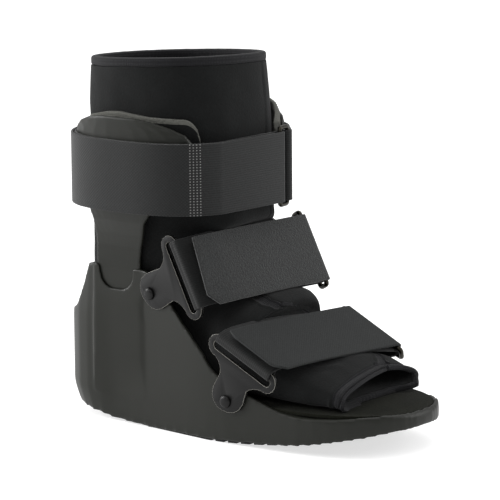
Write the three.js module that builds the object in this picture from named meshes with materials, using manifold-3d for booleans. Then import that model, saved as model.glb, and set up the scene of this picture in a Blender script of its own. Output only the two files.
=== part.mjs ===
import * as THREE from 'three';
import { LoftGeometry } from 'three/addons/geometries/LoftGeometry.js';
import { mergeVertices } from 'three/addons/utils/BufferGeometryUtils.js';
import Module from 'manifold-3d';

// A short walking boot: a moulded rocker base with two uprights, a padded liner and three webbing straps.
// Millimetres, +Z up, toe along -Y. The outer side of the boot, which faces the viewer, is at -X.

// Overall sizes
const soleLength = 293;
const foreWidth = 119;
const heelWidth = 96;
const bootHeight = 270;

// Clearances
const gap = 0.3;
const layerGap = 0.4;

// Moulded base and outsole
const toeSpring = 20.8;
const heelSpring = 11.9;
const flatLength = 40;
const flatCentre = 26;
const outsoleThickness = 5;
const grooveDepth = 2.2;
const grooveWidth = 3.6;
const groovePitch = 11.5;
const grooveMargin = 10;
const outsoleInset = 1.2;
const wallHeight = 115;
const shellWall = 3.5;
const bedHeight = 27.5;
const insoleThickness = 2.4;
const heelRounding = 7;

// Pockets that take the uprights
const pocketY = 85.5;
const pocketSkin = 2.4;
const pocketFoot = 22;
const uprightWidth = 39;
const uprightThickness = 2.7;
const uprightDepth = 66;
const notchWidth = 29;
const notchDepth = 16;

// Calf paddles at the top of the uprights, and their foam pads
const calfCentreY = 64.8;
const calfWidth = 141.4;
const calfDepth = 137;
const calfSquareness = 2.7;
const paddleTop = 226.5;
const padThickness = 4;
const padOverhang = 4.5;

// Padded liner
const linerWall = 6;
const linerLegWidth = 122;
const bindingLength = 6.5;
const bindingSwell = 0.7;

// Webbing
const webWidth = 50.8;
const webThickness = 1.9;
const calfStrapZ = 185;

// Brackets and rivets
const plateThickness = 2.4;
const slotBack = 2.4;
const slotFront = 4.4;
const slotRim = 4.6;
const tabWidth = 27;
const rivetRadius = 4.4;
const rivetShank = 2;
const rivetDome = 1.9;

// Wire rings
const wireRadius = 1.4;
const ringBarGap = 9;
const calfRingBar = 3.2;

const bedTop = bedHeight + gap + insoleThickness;
const linerFloor = bedTop + gap;
const halfLength = soleLength / 2;

// Side height of the base from toe to heel: place along the sole and height, as shares
const sideWallTable = [
  [-1.05, 0.27], [-0.9, 0.268], [-0.72, 0.242], [-0.62, 0.235], [-0.55, 0.235], [-0.45, 0.248],
  [-0.36, 0.28], [-0.28, 0.315], [-0.2, 0.345], [-0.1, 0.39], [-0.03, 0.452], [0.03, 0.54],
  [0.1, 0.635], [0.18, 0.73], [0.24, 0.82], [0.3, 0.91], [0.355, 0.978], [0.41, 0.99],
  [0.76, 1], [0.79, 0.985], [0.81, 0.92], [0.828, 0.86], [0.853, 0.757], [0.88, 0.7],
  [0.915, 0.672], [1.05, 0.66],
];

// Liner sections from toe to rim.
// Back and front along: places along the sole as shares of half its length.
// Back and front up: heights over the foot bed as shares of the liner's height. Wide: share of the leg's
// width. Lean: how far the crown leans inwards. Squareness of the back and front halves. Roll: rise of
// the outer side over the inner one as a share of the leg's width.
const linerColumns = [
  'backAlong', 'backUp', 'frontAlong', 'frontUp', 'wide', 'lean', 'backSquare', 'frontSquare', 'roll',
];
const linerRows = [
  [-0.676, 0, -0.676, 0.118, 0.785, 0.36, 4, 1.9, 0],
  [-0.601, 0, -0.587, 0.137, 0.8, 0.3, 4, 1.9, 0],
  [-0.519, 0, -0.498, 0.12, 0.815, 0.18, 4, 2, 0],
  [-0.382, 0, -0.371, 0.159, 0.815, 0.06, 4, 2.1, 0],
  [-0.246, 0, -0.256, 0.195, 0.8, 0, 4, 2.1, 0],
  [-0.137, 0, -0.126, 0.247, 0.785, 0, 4, 2.1, 0],
  [0, 0, -0.164, 0.275, 0.77, 0, 4, 2.1, 0],
  [0.15, 0, -0.137, 0.294, 0.745, 0, 4, 2.1, 0],
  [0.307, 0, -0.075, 0.3, 0.72, 0, 4, 2.1, 0],
  [0.478, 0, -0.054, 0.327, 0.7, 0, 3.6, 2.2, 0],
  [0.655, 0.004, -0.003, 0.392, 0.69, 0, 3.2, 2.2, 0],
  [0.812, 0.036, 0.042, 0.45, 0.685, 0, 2.8, 2.2, 0],
  [0.901, 0.101, 0.078, 0.496, 0.685, 0, 2.6, 2.2, 0],
  [0.942, 0.195, 0.041, 0.519, 0.7, 0, 2.5, 2.3, 0],
  [0.942, 0.298, 0.02, 0.545, 0.73, 0, 2.5, 2.4, 0],
  [0.925, 0.427, 0.014, 0.586, 0.81, 0, 2.5, 2.4, 0],
  [0.908, 0.547, 0.011, 0.642, 0.89, 0, 2.5, 2.4, 0],
  [0.901, 0.685, 0.011, 0.719, 0.95, 0, 2.4, 2.4, 0],
  [0.901, 0.788, 0.014, 0.796, 0.98, 0, 2.3, 2.4, 0],
  [0.908, 0.873, 0.02, 0.899, 1, 0, 2.3, 2.3, 0.008],
  [0.915, 0.944, 0.034, 1.004, 1, 0, 2.2, 2.2, 0.025],
];
const linerTable = linerRows.map((row) => Object.fromEntries(linerColumns.map((name, i) => [name, row[i]])));

// Uprights from the foot in the pocket to the top of the paddle. Up: share of the way from the top of
// the base to the top of the paddle. Front and rear: share of the way to the paddle's widest outline.
// Out: share of the flare from the pocket to the calf. Bow: how far the plate follows the calf's curve.
const uprightTable = [
  { up: -0.02, front: 0, rear: 0, out: 0, bow: 0.01 },
  { up: 0.04, front: 0.01, rear: -0.01, out: 0.03, bow: 0.01 },
  { up: 0.135, front: 0.075, rear: -0.24, out: 0.16, bow: 0.06 },
  { up: 0.225, front: 0.18, rear: -0.43, out: 0.38, bow: 0.22 },
  { up: 0.32, front: 0.29, rear: -0.59, out: 0.66, bow: 0.5 },
  { up: 0.4, front: 0.45, rear: -0.45, out: 0.84, bow: 0.75 },
  { up: 0.495, front: 0.62, rear: -0.1, out: 0.95, bow: 0.92 },
  { up: 0.63, front: 0.83, rear: 0.45, out: 1, bow: 1 },
  { up: 0.76, front: 0.96, rear: 0.82, out: 1, bow: 1 },
  { up: 0.85, front: 0.99, rear: 0.91, out: 1, bow: 1 },
  { up: 0.905, front: 0.92, rear: 0.77, out: 1, bow: 1 },
  { up: 0.95, front: 0.74, rear: 0.1, out: 1, bow: 1 },
  { up: 0.985, front: 0.49, rear: -0.9, out: 1, bow: 1 },
  { up: 1, front: 0.26, rear: -2.1, out: 1, bow: 1 },
];
const padFoot = 0.45;
const paddleFrontY = 13;
const paddleRearY = 116;

const wasm = await Module();
wasm.setup();

// Solids and booleans

function asSolid(geometry) {
  const plain = new THREE.BufferGeometry().copy(geometry);
  plain.deleteAttribute('normal');
  plain.deleteAttribute('uv');
  const merged = mergeVertices(plain, 1e-4);
  const index = merged.index.array;
  return new wasm.Manifold(new wasm.Mesh({
    numProp: 3,
    vertProperties: new Float32Array(merged.attributes.position.array),
    triVerts: new Uint32Array(index),
  }));
}

function asGeometry(manifold) {
  const mesh = manifold.getMesh();
  const geometry = new THREE.BufferGeometry();
  geometry.setAttribute('position', new THREE.BufferAttribute(mesh.vertProperties.slice(), 3));
  geometry.setIndex(new THREE.BufferAttribute(mesh.triVerts.slice(), 1));
  geometry.computeVertexNormals();
  return geometry;
}

function mirrored(geometry) {
  const plain = new THREE.BufferGeometry().copy(geometry);
  const copy = plain.index ? plain.toNonIndexed() : plain;
  copy.scale(-1, 1, 1);
  const places = copy.attributes.position.array;
  for (let start = 0; start < places.length; start += 9) {
    for (let axis = 0; axis < 3; axis += 1) {
      const kept = places[start + axis];
      places[start + axis] = places[start + 3 + axis];
      places[start + 3 + axis] = kept;
    }
  }
  copy.computeVertexNormals();
  return copy;
}

// Puts a geometry drawn in its own plane at an origin, with its first two axes along the given ones
function placed(geometry, origin, first, second) {
  const third = new THREE.Vector3().crossVectors(first, second);
  const matrix = new THREE.Matrix4().makeBasis(first, second, third).setPosition(origin);
  return new THREE.BufferGeometry().copy(geometry).applyMatrix4(matrix);
}

function prism(shape, depth) {
  const geometry = new THREE.ExtrudeGeometry(shape, { depth, bevelEnabled: false, curveSegments: 6 });
  return geometry.translate(0, 0, -depth / 2);
}

const alongY = new THREE.Vector3(0, 1, 0);
const alongZ = new THREE.Vector3(0, 0, 1);
const alongX = new THREE.Vector3(1, 0, 0);

function sidePrism(shape, depth) {
  return placed(prism(shape, depth), new THREE.Vector3(), alongY, alongZ);
}

function between(table, place) {
  const last = table.length - 1;
  if (place <= table[0][0]) return table[0][1];
  for (let i = 1; i <= last; i += 1) {
    if (place <= table[i][0]) {
      const share = (place - table[i - 1][0]) / (table[i][0] - table[i - 1][0]);
      return table[i - 1][1] + share * (table[i][1] - table[i - 1][1]);
    }
  }
  return table[last][1];
}

// Plan of the sole

const toeRound = 80;
const heelRound = 48;

function soleHalfWidth(y) {
  const share = THREE.MathUtils.smoothstep(y, -0.157 * halfLength, 0.662 * halfLength);
  const body = THREE.MathUtils.lerp(foreWidth, heelWidth, share) / 2;
  const toe = THREE.MathUtils.clamp((y + halfLength) / toeRound, 0, 1);
  const heel = THREE.MathUtils.clamp((halfLength - y) / heelRound, 0, 1);
  return body * (1 - (1 - toe) ** 2.2) ** (1 / 2.2) * (1 - (1 - heel) ** 2.4) ** (1 / 2.4);
}

function soleOutline(inset, stations = 28) {
  const side = [];
  for (let i = 0; i <= stations; i += 1) {
    const y = -halfLength * Math.cos(Math.PI * i / stations);
    side.push(new THREE.Vector2(soleHalfWidth(y), y));
  }
  const ring = [...side, ...side.slice(1, -1).reverse().map((p) => new THREE.Vector2(-p.x, p.y))];
  return ring.map((point, i) => {
    const before = ring[(i + ring.length - 1) % ring.length];
    const after = ring[(i + 1) % ring.length];
    const along = after.clone().sub(before).normalize();
    return new THREE.Vector2(point.x - along.y * inset, point.y + along.x * inset);
  });
}

function solePrism(inset, low, high) {
  const geometry = new THREE.ExtrudeGeometry(new THREE.Shape(soleOutline(inset)), {
    depth: high - low,
    bevelEnabled: false,
  });
  return geometry.translate(0, 0, low);
}

function treadHeight(y) {
  const front = flatCentre - flatLength / 2;
  const back = flatCentre + flatLength / 2;
  if (y < front) return toeSpring * ((front - y) / (front + halfLength)) ** 1.85;
  if (y > back) return heelSpring * ((y - back) / (halfLength - back)) ** 1.9;
  return 0;
}

function wallTop(y) {
  return wallHeight * between(sideWallTable, y / halfLength);
}

// Outsole: a band under the base that follows the rocker, with grooves across the tread

function treadCurve(offset, steps = 26) {
  const reach = halfLength + 2;
  const points = [];
  for (let i = 0; i <= steps; i += 1) {
    const y = -reach + 2 * reach * i / steps;
    points.push(new THREE.Vector2(y, treadHeight(THREE.MathUtils.clamp(y, -halfLength, halfLength)) + offset));
  }
  return points;
}

function makeOutsole() {
  const band = new THREE.Shape([...treadCurve(0), ...treadCurve(outsoleThickness).reverse()]);
  let sole = asSolid(solePrism(outsoleInset, -2, wallHeight)).intersect(asSolid(sidePrism(band, 2 * foreWidth)));
  const grooves = Math.floor(halfLength / groovePitch);
  for (let i = 1; i <= grooves; i += 1) {
    for (const side of [-1, 1]) {
      const y = flatCentre + side * (flatLength / 2 + i * groovePitch);
      if (Math.abs(y) > halfLength - grooveMargin) continue;
      const cut = new THREE.BoxGeometry(2 * foreWidth, grooveWidth, 2 * grooveDepth);
      sole = sole.subtract(asSolid(cut.translate(0, y, treadHeight(y))));
    }
  }
  return asGeometry(sole);
}

// Base: a tray with side and heel walls, pockets for the uprights and holes for the rivets

function baseBody() {
  const levels = [[-1, heelRounding], [5, 0.5 * heelRounding], [12, 0.2 * heelRounding], [24, 0], [wallHeight + 4, 0]];
  const sections = levels.map(([z, rounding]) => soleOutline(0).map((p) => {
    const heelShare = THREE.MathUtils.clamp((p.y - 0.45 * halfLength) / (0.55 * halfLength), 0, 1);
    const scale = 1 - 0.5 * rounding * heelShare / heelWidth;
    return new THREE.Vector3(p.x * scale, p.y - rounding * heelShare, z);
  }));
  const body = asSolid(new LoftGeometry(sections, { capStart: true, capEnd: true }));
  const top = [];
  const steps = 72;
  const reach = halfLength + 2;
  for (let i = 0; i <= steps; i += 1) {
    const y = reach - 2 * reach * i / steps;
    top.push(new THREE.Vector2(y, wallTop(y)));
  }
  const side = new THREE.Shape([...treadCurve(outsoleThickness + gap), ...top]);
  return { body, side: asSolid(sidePrism(side, 2 * foreWidth)) };
}

const pocketWidth = uprightWidth + 2 * gap + 2 * pocketSkin;
const pocketOuter = soleHalfWidth(pocketY) + pocketSkin + 0.7;
const uprightOuter = pocketOuter - pocketSkin - gap;
const uprightFoot = wallHeight - uprightDepth;
const pocketInner = uprightOuter - uprightThickness - gap - pocketSkin;

function pocketBlock(side) {
  const depth = pocketOuter - pocketInner;
  const block = new THREE.BoxGeometry(depth, pocketWidth, wallHeight - pocketFoot);
  return block.translate(side * (pocketOuter - depth / 2), pocketY, (wallHeight + pocketFoot) / 2);
}

// The part of the base's inside that a pocket fills, grown by a clearance
function pocketZone(side, clearance) {
  const depth = 2 * (foreWidth - pocketInner + clearance);
  const zone = new THREE.BoxGeometry(depth, pocketWidth + 2 * clearance, 3 * wallHeight);
  return zone.translate(side * foreWidth, pocketY, wallHeight);
}

function pocketSlot(side) {
  const width = uprightThickness + 2 * gap;
  const height = wallHeight - uprightFoot + gap + 5;
  const slot = new THREE.BoxGeometry(width, uprightWidth + 2 * gap, height);
  return slot.translate(side * (uprightOuter - uprightThickness / 2), pocketY, uprightFoot - gap + height / 2);
}

function pocketNotch(side) {
  const half = notchWidth / 2;
  const corner = 0.62 * half;
  const notch = new THREE.Shape();
  notch.moveTo(-half - 2, 6);
  notch.lineTo(-half, -0.3 * notchDepth);
  notch.quadraticCurveTo(-half + 1, -notchDepth, -half + corner + 2, -notchDepth);
  notch.lineTo(half - corner - 2, -notchDepth);
  notch.quadraticCurveTo(half - 1, -notchDepth, half, -0.3 * notchDepth);
  notch.lineTo(half + 2, 6);
  const cut = prism(notch, 2 * pocketSkin + 2 * gap);
  const x = side * (pocketOuter + gap);
  return placed(cut, new THREE.Vector3(x, pocketY + 1, wallHeight), alongY, alongZ);
}

function makeBase() {
  const { body, side } = baseBody();
  let base = body;
  for (const hand of [-1, 1]) base = base.add(asSolid(pocketBlock(hand)));
  base = base.intersect(side);
  let hollow = asSolid(solePrism(shellWall, bedHeight, wallHeight + 20));
  for (const hand of [-1, 1]) hollow = hollow.subtract(asSolid(pocketZone(hand, 0)));
  base = base.subtract(hollow);
  for (const hand of [-1, 1]) {
    base = base.subtract(asSolid(pocketSlot(hand)));
    base = base.subtract(asSolid(pocketNotch(hand)));
  }
  for (const bracket of brackets) {
    base = base.subtract(asSolid(bracketSeat(bracket))).subtract(asSolid(rivetHole(bracket)));
  }
  return asGeometry(base);
}

function makeInsole() {
  let pad = asSolid(solePrism(shellWall + gap, bedHeight + gap, bedTop));
  for (const hand of [-1, 1]) pad = pad.subtract(asSolid(pocketZone(hand, gap)));
  return asGeometry(pad);
}

// Uprights: a strut that stands in its pocket and flares into a paddle curved round the calf

function calfHalfWidth(y, inset) {
  const reach = calfDepth / 2 - inset;
  const share = Math.min(Math.abs(y - calfCentreY) / reach, 1);
  return (calfWidth / 2 - inset) * (1 - share ** calfSquareness) ** (1 / calfSquareness);
}

function uprightAt(up) {
  const column = (name) => between(uprightTable.map((row) => [row.up, row[name]]), up);
  const half = uprightWidth / 2;
  return {
    front: THREE.MathUtils.lerp(pocketY - half, paddleFrontY, column('front')),
    rear: THREE.MathUtils.lerp(pocketY + half, paddleRearY, column('rear')),
    out: THREE.MathUtils.lerp(uprightOuter, calfWidth / 2, column('out')),
    bow: column('bow'),
  };
}

function plateSection(row, z, inset, thickness, steps) {
  const outer = [];
  const inner = [];
  for (let i = 0; i <= steps; i += 1) {
    const y = THREE.MathUtils.lerp(row.front, row.rear, i / steps);
    const edge = (depth) => row.out - depth - row.bow * (calfWidth / 2 - depth - calfHalfWidth(y, depth));
    outer.push(new THREE.Vector3(-edge(inset), y, z));
    inner.push(new THREE.Vector3(-edge(inset + thickness), y, z));
  }
  return [...inner, ...outer.reverse()];
}

function makeUpright() {
  const rows = uprightTable.map((row) => row.up);
  const foot = plateSection(uprightAt(rows[0]), uprightFoot, 0, uprightThickness, 8);
  const upper = rows.map((up) => {
    const z = THREE.MathUtils.lerp(wallHeight, paddleTop, up);
    return plateSection(uprightAt(up), z, 0, uprightThickness, 8);
  });
  return new LoftGeometry([foot, ...upper], { capStart: true, capEnd: true });
}

function makePad() {
  const inset = uprightThickness + 3 * gap;
  const rise = padOverhang / (paddleTop - wallHeight);
  const levels = uprightTable.map((row) => row.up).filter((up) => up >= padFoot);
  const sections = levels.map((up) => {
    const row = uprightAt(up);
    const level = uprightAt(Math.min(up + rise, 1));
    const front = row.front - padOverhang;
    const rear = row.rear + 0.3 * padOverhang;
    const z = THREE.MathUtils.lerp(wallHeight, paddleTop, up + rise);
    return plateSection({ front, rear, out: level.out, bow: level.bow }, z, inset, padThickness, 8);
  });
  return new LoftGeometry(sections, { capStart: true, capEnd: true });
}

// Liner: a padded boot, open at the rim and at the toe

function linerSection(row, options = {}) {
  const { inset = 0, shift = new THREE.Vector3(), floorInset = inset, points = 26 } = options;
  const heightOver = bootHeight - bindingLength - linerFloor;
  const back = new THREE.Vector3(0, row.backAlong * halfLength, linerFloor + row.backUp * heightOver);
  const front = new THREE.Vector3(0, row.frontAlong * halfLength, linerFloor + row.frontUp * heightOver);
  const up = front.clone().sub(back);
  const length = up.length();
  up.normalize();
  const half = row.wide * linerLegWidth / 2 - inset;
  const low = floorInset;
  const high = length - inset;
  const section = [];
  for (let i = 0; i < points; i += 1) {
    const angle = 2 * Math.PI * i / points;
    const square = 2 / (Math.sin(angle) < 0 ? row.backSquare : row.frontSquare);
    const across = Math.sign(Math.cos(angle)) * Math.abs(Math.cos(angle)) ** square;
    const rise = 0.5 + 0.5 * Math.sign(Math.sin(angle)) * Math.abs(Math.sin(angle)) ** square;
    const point = back.clone().addScaledVector(up, THREE.MathUtils.lerp(low, high, rise));
    point.x = half * (across + row.lean * rise * (1 - 0.35 * Math.abs(across)));
    point.z -= row.roll * linerLegWidth * across;
    section.push(point.add(shift));
  }
  return section;
}

function hollowLoft(outer, inner) {
  const sections = [...outer, ...inner.reverse(), outer[0]];
  return new LoftGeometry(sections.map((section) => [...section].reverse()));
}

function makeLiner() {
  const outer = linerTable.map((row) => linerSection(row));
  const inner = linerTable.map((row) => linerSection(row, { inset: linerWall }));
  return hollowLoft(outer, inner);
}

function makeBinding(row, direction) {
  const shifts = [gap, gap + 0.5 * bindingLength, gap + bindingLength];
  const swell = [0, bindingSwell, 0];
  const ring = (depth) => shifts.map((length, i) => linerSection(row, {
    inset: depth === 0 ? -swell[i] : depth + swell[i],
    floorInset: depth === 0 && direction.y < 0 ? 0 : (depth === 0 ? -swell[i] : depth + swell[i]),
    shift: direction.clone().multiplyScalar(length),
  }));
  const outer = ring(0);
  const inner = ring(linerWall);
  return direction.y < 0 ? hollowLoft(outer.reverse(), inner.reverse()) : hollowLoft(outer, inner);
}

// Brackets: a slotted bar for the webbing on a tab that is riveted to the wall of the base

function bracketFrame({ y, z, reach, forward }) {
  const lean = (soleHalfWidth(y - 12) - soleHalfWidth(y + 12)) / 24;
  const across = new THREE.Vector3(0, forward.z, -forward.y);
  const ahead = new THREE.Vector3(forward.y * lean, forward.y, forward.z).normalize();
  const out = new THREE.Vector3().crossVectors(ahead, across);
  const rivet = new THREE.Vector3(-(soleHalfWidth(y) + gap), y, z);
  const slot = rivet.clone().addScaledVector(ahead, reach);
  return { rivet, ahead, across, out, slot, reach, forward };
}

function bracketOutline(reach) {
  const half = webWidth / 2 + 1.5;
  const end = half + slotRim;
  const back = -slotBack - slotRim;
  const front = slotFront + slotRim;
  const corner = (front - back) / 2;
  const tab = tabWidth / 2;
  const outline = new THREE.Shape();
  outline.moveTo(front, -end + corner);
  outline.lineTo(front, end - corner);
  outline.absarc(front - corner, end - corner, corner, 0, Math.PI, false);
  outline.lineTo(back, 0.82 * half);
  outline.quadraticCurveTo(back - 2.5, tab + 1, back - 9, tab - 0.5);
  outline.lineTo(-reach + 4, tab + 0.5);
  outline.bezierCurveTo(-reach - 5, tab, -reach - 8.5, 6, -reach - 7.5, 0);
  outline.bezierCurveTo(-reach - 6.5, -7, -reach - 2, -tab, -reach + 6, -tab);
  outline.lineTo(back - 8, -tab + 1.5);
  outline.quadraticCurveTo(back - 3, -tab - 0.5, back, -0.82 * half);
  outline.absarc(back + corner, -end + corner, corner, Math.PI, 2 * Math.PI, false);
  const slot = new THREE.Path();
  const cut = (slotBack + slotFront) / 2;
  const middle = (slotFront - slotBack) / 2;
  slot.absarc(middle, half - cut, cut, 0, Math.PI, false);
  slot.absarc(middle, -half + cut, cut, Math.PI, 2 * Math.PI, false);
  outline.holes.push(slot);
  const hole = new THREE.Path();
  hole.absarc(-reach, 0, rivetShank + gap, 0, 2 * Math.PI, false);
  outline.holes.push(hole);
  return outline;
}

function makeBracket(frame) {
  const plate = new THREE.ExtrudeGeometry(bracketOutline(frame.reach), {
    depth: plateThickness,
    bevelEnabled: false,
    curveSegments: 4,
  });
  return placed(plate, frame.slot, frame.ahead, frame.across);
}

function alongOut(geometry, frame) {
  const matrix = new THREE.Matrix4().makeBasis(frame.ahead, frame.out, frame.across.clone().negate());
  return geometry.applyMatrix4(matrix.setPosition(frame.rivet));
}

function makeRivet(frame) {
  const seat = plateThickness + gap;
  const foot = -0.7 * shellWall;
  const points = [
    [0, foot], [rivetShank, foot], [rivetShank, seat], [rivetRadius, seat],
    [rivetRadius, seat + 0.3 * rivetDome], [0.7 * rivetRadius, seat + 0.8 * rivetDome], [0, seat + rivetDome],
  ].map(([radius, height]) => new THREE.Vector2(radius, height));
  return alongOut(new THREE.LatheGeometry(points, 12), frame);
}

// A flat seat for the tab, cut a hair into the curved wall
function bracketSeat(bracket) {
  const length = 1.6 * tabWidth;
  const seat = new THREE.BoxGeometry(length, 2 * plateThickness, 1.5 * tabWidth);
  const cut = alongOut(seat.translate(0.14 * length, plateThickness - gap, 0), bracket.frame);
  return bracket.far ? mirrored(cut) : cut;
}

function rivetHole(bracket) {
  const depth = 0.7 * shellWall + gap;
  const drill = new THREE.CylinderGeometry(rivetShank + gap, rivetShank + gap, 2 * depth, 12);
  const cut = alongOut(drill, bracket.frame);
  return bracket.far ? mirrored(cut) : cut;
}

// Webbing: a ribbon of constant width along a path drawn edge on

function ribbonOutline(path, thickness) {
  const half = thickness / 2;
  const sides = path.map((point, i) => {
    const before = path[Math.max(i - 1, 0)];
    const after = path[Math.min(i + 1, path.length - 1)];
    const along = after.clone().sub(before).normalize();
    return new THREE.Vector2(-along.y, along.x).multiplyScalar(half);
  });
  const left = path.map((point, i) => point.clone().add(sides[i]));
  const right = path.map((point, i) => point.clone().sub(sides[i]));
  return new THREE.Shape([...left, ...right.reverse()]);
}

function curveThrough(points, count) {
  return new THREE.SplineCurve(points.map(([x, y]) => new THREE.Vector2(x, y))).getPoints(count);
}

function turn(centre, radius, from, to, steps = 7) {
  const points = [];
  for (let i = 0; i <= steps; i += 1) {
    const angle = THREE.MathUtils.lerp(from, to, i / steps);
    points.push(new THREE.Vector2(centre[0] + radius * Math.cos(angle), centre[1] + radius * Math.sin(angle)));
  }
  return points;
}

function offsetPath(path, distance) {
  return path.map((point, i) => {
    const before = path[Math.max(i - 1, 0)];
    const after = path[Math.min(i + 1, path.length - 1)];
    const along = after.clone().sub(before).normalize();
    return new THREE.Vector2(point.x - along.y * distance, point.y + along.x * distance);
  });
}

const layer = webThickness + layerGap;
const barClearance = 0.6;
const loopRadius = plateThickness / 2 + barClearance + webThickness / 2;
const foldRadius = wireRadius + gap + webThickness / 2;

// Places a strap drawn in x and the forward direction, sliding along its width as it crosses over
function crossed(geometry, frame, slide) {
  const ahead = new THREE.Vector3(0, frame.forward.y, frame.forward.z);
  const origin = new THREE.Vector3(0, frame.slot.y, frame.slot.z);
  const base = placed(geometry, origin, alongX, ahead);
  const places = base.attributes.position;
  for (let i = 0; i < places.count; i += 1) {
    const move = slide * (places.getX(i) - frame.slot.x);
    places.setY(i, places.getY(i) + move * frame.across.y);
    places.setZ(i, places.getZ(i) + move * frame.across.z);
  }
  base.computeVertexNormals();
  return base;
}

function makeStrap(strap) {
  const { frame, crown, ring, slide } = strap;
  const middle = frame.slot.x - plateThickness / 2 - strap.lift;
  const bar = slotFront + 0.2;
  const tail = curveThrough([[middle + loopRadius, bar + 9], [middle + loopRadius, bar]], 2);
  const loop = turn([middle, bar], loopRadius, 0, -Math.PI);
  const rise = curveThrough([
    [middle - loopRadius, bar + 1.5], ...crown, [ring.front[0] - 9, ring.front[1] - foldRadius - 0.2],
  ], 26);
  const fold = turn(ring.front, foldRadius, -Math.PI / 2, Math.PI / 2);
  const back = offsetPath(rise, layer).reverse().filter((p) => p.x > strap.freeEnd);
  const path = [...tail.slice(0, -1), ...loop, ...rise, ...fold, ...back];
  const ribbon = prism(ribbonOutline(path, webThickness), webWidth);
  return crossed(ribbon, frame, slide);
}

// The taut outline round several bars: the hull of circles about their centres
function tautLoop(centres, radius) {
  const points = centres.flatMap(([x, y]) => turn([x, y], radius, 0, 1.875 * Math.PI, 15));
  points.sort((p, q) => p.x - q.x || p.y - q.y);
  const chain = (list) => {
    const hull = [];
    for (const point of list) {
      while (hull.length > 1) {
        const [before, last] = hull.slice(-2);
        const turned = last.clone().sub(before).cross(point.clone().sub(last));
        if (turned > 1e-6) break;
        hull.pop();
      }
      hull.push(point);
    }
    return hull.slice(0, -1);
  };
  return [...chain(points), ...chain([...points].reverse())];
}

function makeChafe(strap) {
  const { frame, ring, slide, farBar } = strap;
  const half = webThickness / 2;
  const bars = [farBar, [farBar[0] + strap.lift, farBar[1] + slotRim], ring.rear];
  const shape = new THREE.Shape(tautLoop(bars, loopRadius + half));
  shape.holes.push(new THREE.Path(tautLoop(bars, loopRadius - half)));
  return crossed(prism(shape, webWidth - 1), frame, slide);
}

function wireLoop(first, second, half, radius) {
  const corners = [
    [first[0], first[1], -half], [second[0], second[1], -half],
    [second[0], second[1], half], [first[0], first[1], half],
  ].map((p) => new THREE.Vector3(...p));
  let wire = null;
  corners.forEach((corner, i) => {
    const next = corners[(i + 1) % corners.length];
    const rod = new THREE.CylinderGeometry(radius, radius, corner.distanceTo(next), 7);
    const turned = new THREE.Quaternion().setFromUnitVectors(alongY, next.clone().sub(corner).normalize());
    rod.applyQuaternion(turned).translate(...corner.clone().add(next).multiplyScalar(0.5).toArray());
    const knuckle = new THREE.SphereGeometry(1.05 * radius, 6, 4).translate(...corner.toArray());
    const piece = asSolid(rod).add(asSolid(knuckle));
    wire = wire ? wire.add(piece) : piece;
  });
  return asGeometry(wire);
}

function makeRing(strap) {
  const { frame, ring, slide } = strap;
  const half = webWidth / 2 + gap + barClearance + wireRadius;
  return crossed(wireLoop(ring.front, ring.rear, half, wireRadius), frame, slide);
}

// Calf strap: once round the leg under its own free end, and through the ring at the front

function girth(outset, from, to, steps) {
  const points = [];
  for (let i = 0; i <= steps; i += 1) {
    const angle = THREE.MathUtils.degToRad(THREE.MathUtils.lerp(from, to, i / steps));
    const power = 2 / calfSquareness;
    const c = Math.sign(Math.cos(angle)) * Math.abs(Math.cos(angle)) ** power;
    const s = Math.sign(Math.sin(angle)) * Math.abs(Math.sin(angle)) ** power;
    const x = (calfWidth / 2 + outset) * c;
    points.push(new THREE.Vector2(x, calfCentreY + (calfDepth / 2 + outset) * s));
  }
  return points;
}

const calfRingNear = [27, -5.6];
const calfRingFar = [37.5, -4.2];
const inLayer = gap + 0.2 + webThickness / 2;
const outLayer = inLayer + layer;
const calfFold = calfRingBar / 2 + gap + webThickness / 2;

// Where the calf strap's runs begin and end round the leg, in degrees from the inner side
const calfFarEnd = -52;
const calfBack = 90;
const calfInnerEnd = 243;
const calfFreeEnd = 100;
const ringTail = 9;

function makeCalfStrap() {
  const farSide = girth(inLayer, calfFarEnd, calfBack, 16);
  const nearSide = girth(inLayer, calfBack, calfInnerEnd, 20).slice(1);
  const pull = new THREE.Vector2(...calfRingFar).multiplyScalar(-1).add(farSide[0]);
  const angle = pull.angle();
  const startTurn = turn(calfRingFar, calfFold, angle + Math.PI / 2, angle + 1.5 * Math.PI, 6);
  const tail = startTurn[0].clone().add(pull.setLength(ringTail));
  const foldTurn = turn(calfRingNear, calfFold, 0.5 * Math.PI, -0.5 * Math.PI, 6);
  const outerNear = girth(outLayer, calfInnerEnd + 1, calfFreeEnd, 20);
  const path = [tail, ...startTurn, ...farSide, ...nearSide, ...foldTurn, ...outerNear];
  return prism(ribbonOutline(path, webThickness), webWidth).translate(0, 0, calfStrapZ);
}

function makeCalfRing() {
  const half = webWidth / 2 + gap + barClearance + calfRingBar / 2;
  const wire = wireLoop(calfRingNear, calfRingFar, half, calfRingBar / 2);
  return wire.translate(0, 0, calfStrapZ);
}

// Places of the brackets and straps

const instepForward = new THREE.Vector3(0, -0.898, 0.44);
const forefootForward = new THREE.Vector3(0, -0.455, 0.89);
const instepRivet = { y: 53, z: 99, reach: 35, forward: instepForward };
const forefootRivet = { y: -19.7, z: 31.5, reach: 31.5, forward: forefootForward };
const instepFarSlide = -4;
const forefootFarSlide = -12.4;

// The inner side's brackets sit a little further along their slots than the outer side's
function slidAlong(rivet, distance) {
  const { y, z, forward } = rivet;
  return { ...rivet, y: y + distance * forward.z, z: z - distance * forward.y };
}

const instepFrame = bracketFrame(instepRivet);
const forefootFrame = bracketFrame(forefootRivet);
const instepFarFrame = bracketFrame(slidAlong(instepRivet, instepFarSlide));
const forefootFarFrame = bracketFrame(slidAlong(forefootRivet, forefootFarSlide));

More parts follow.
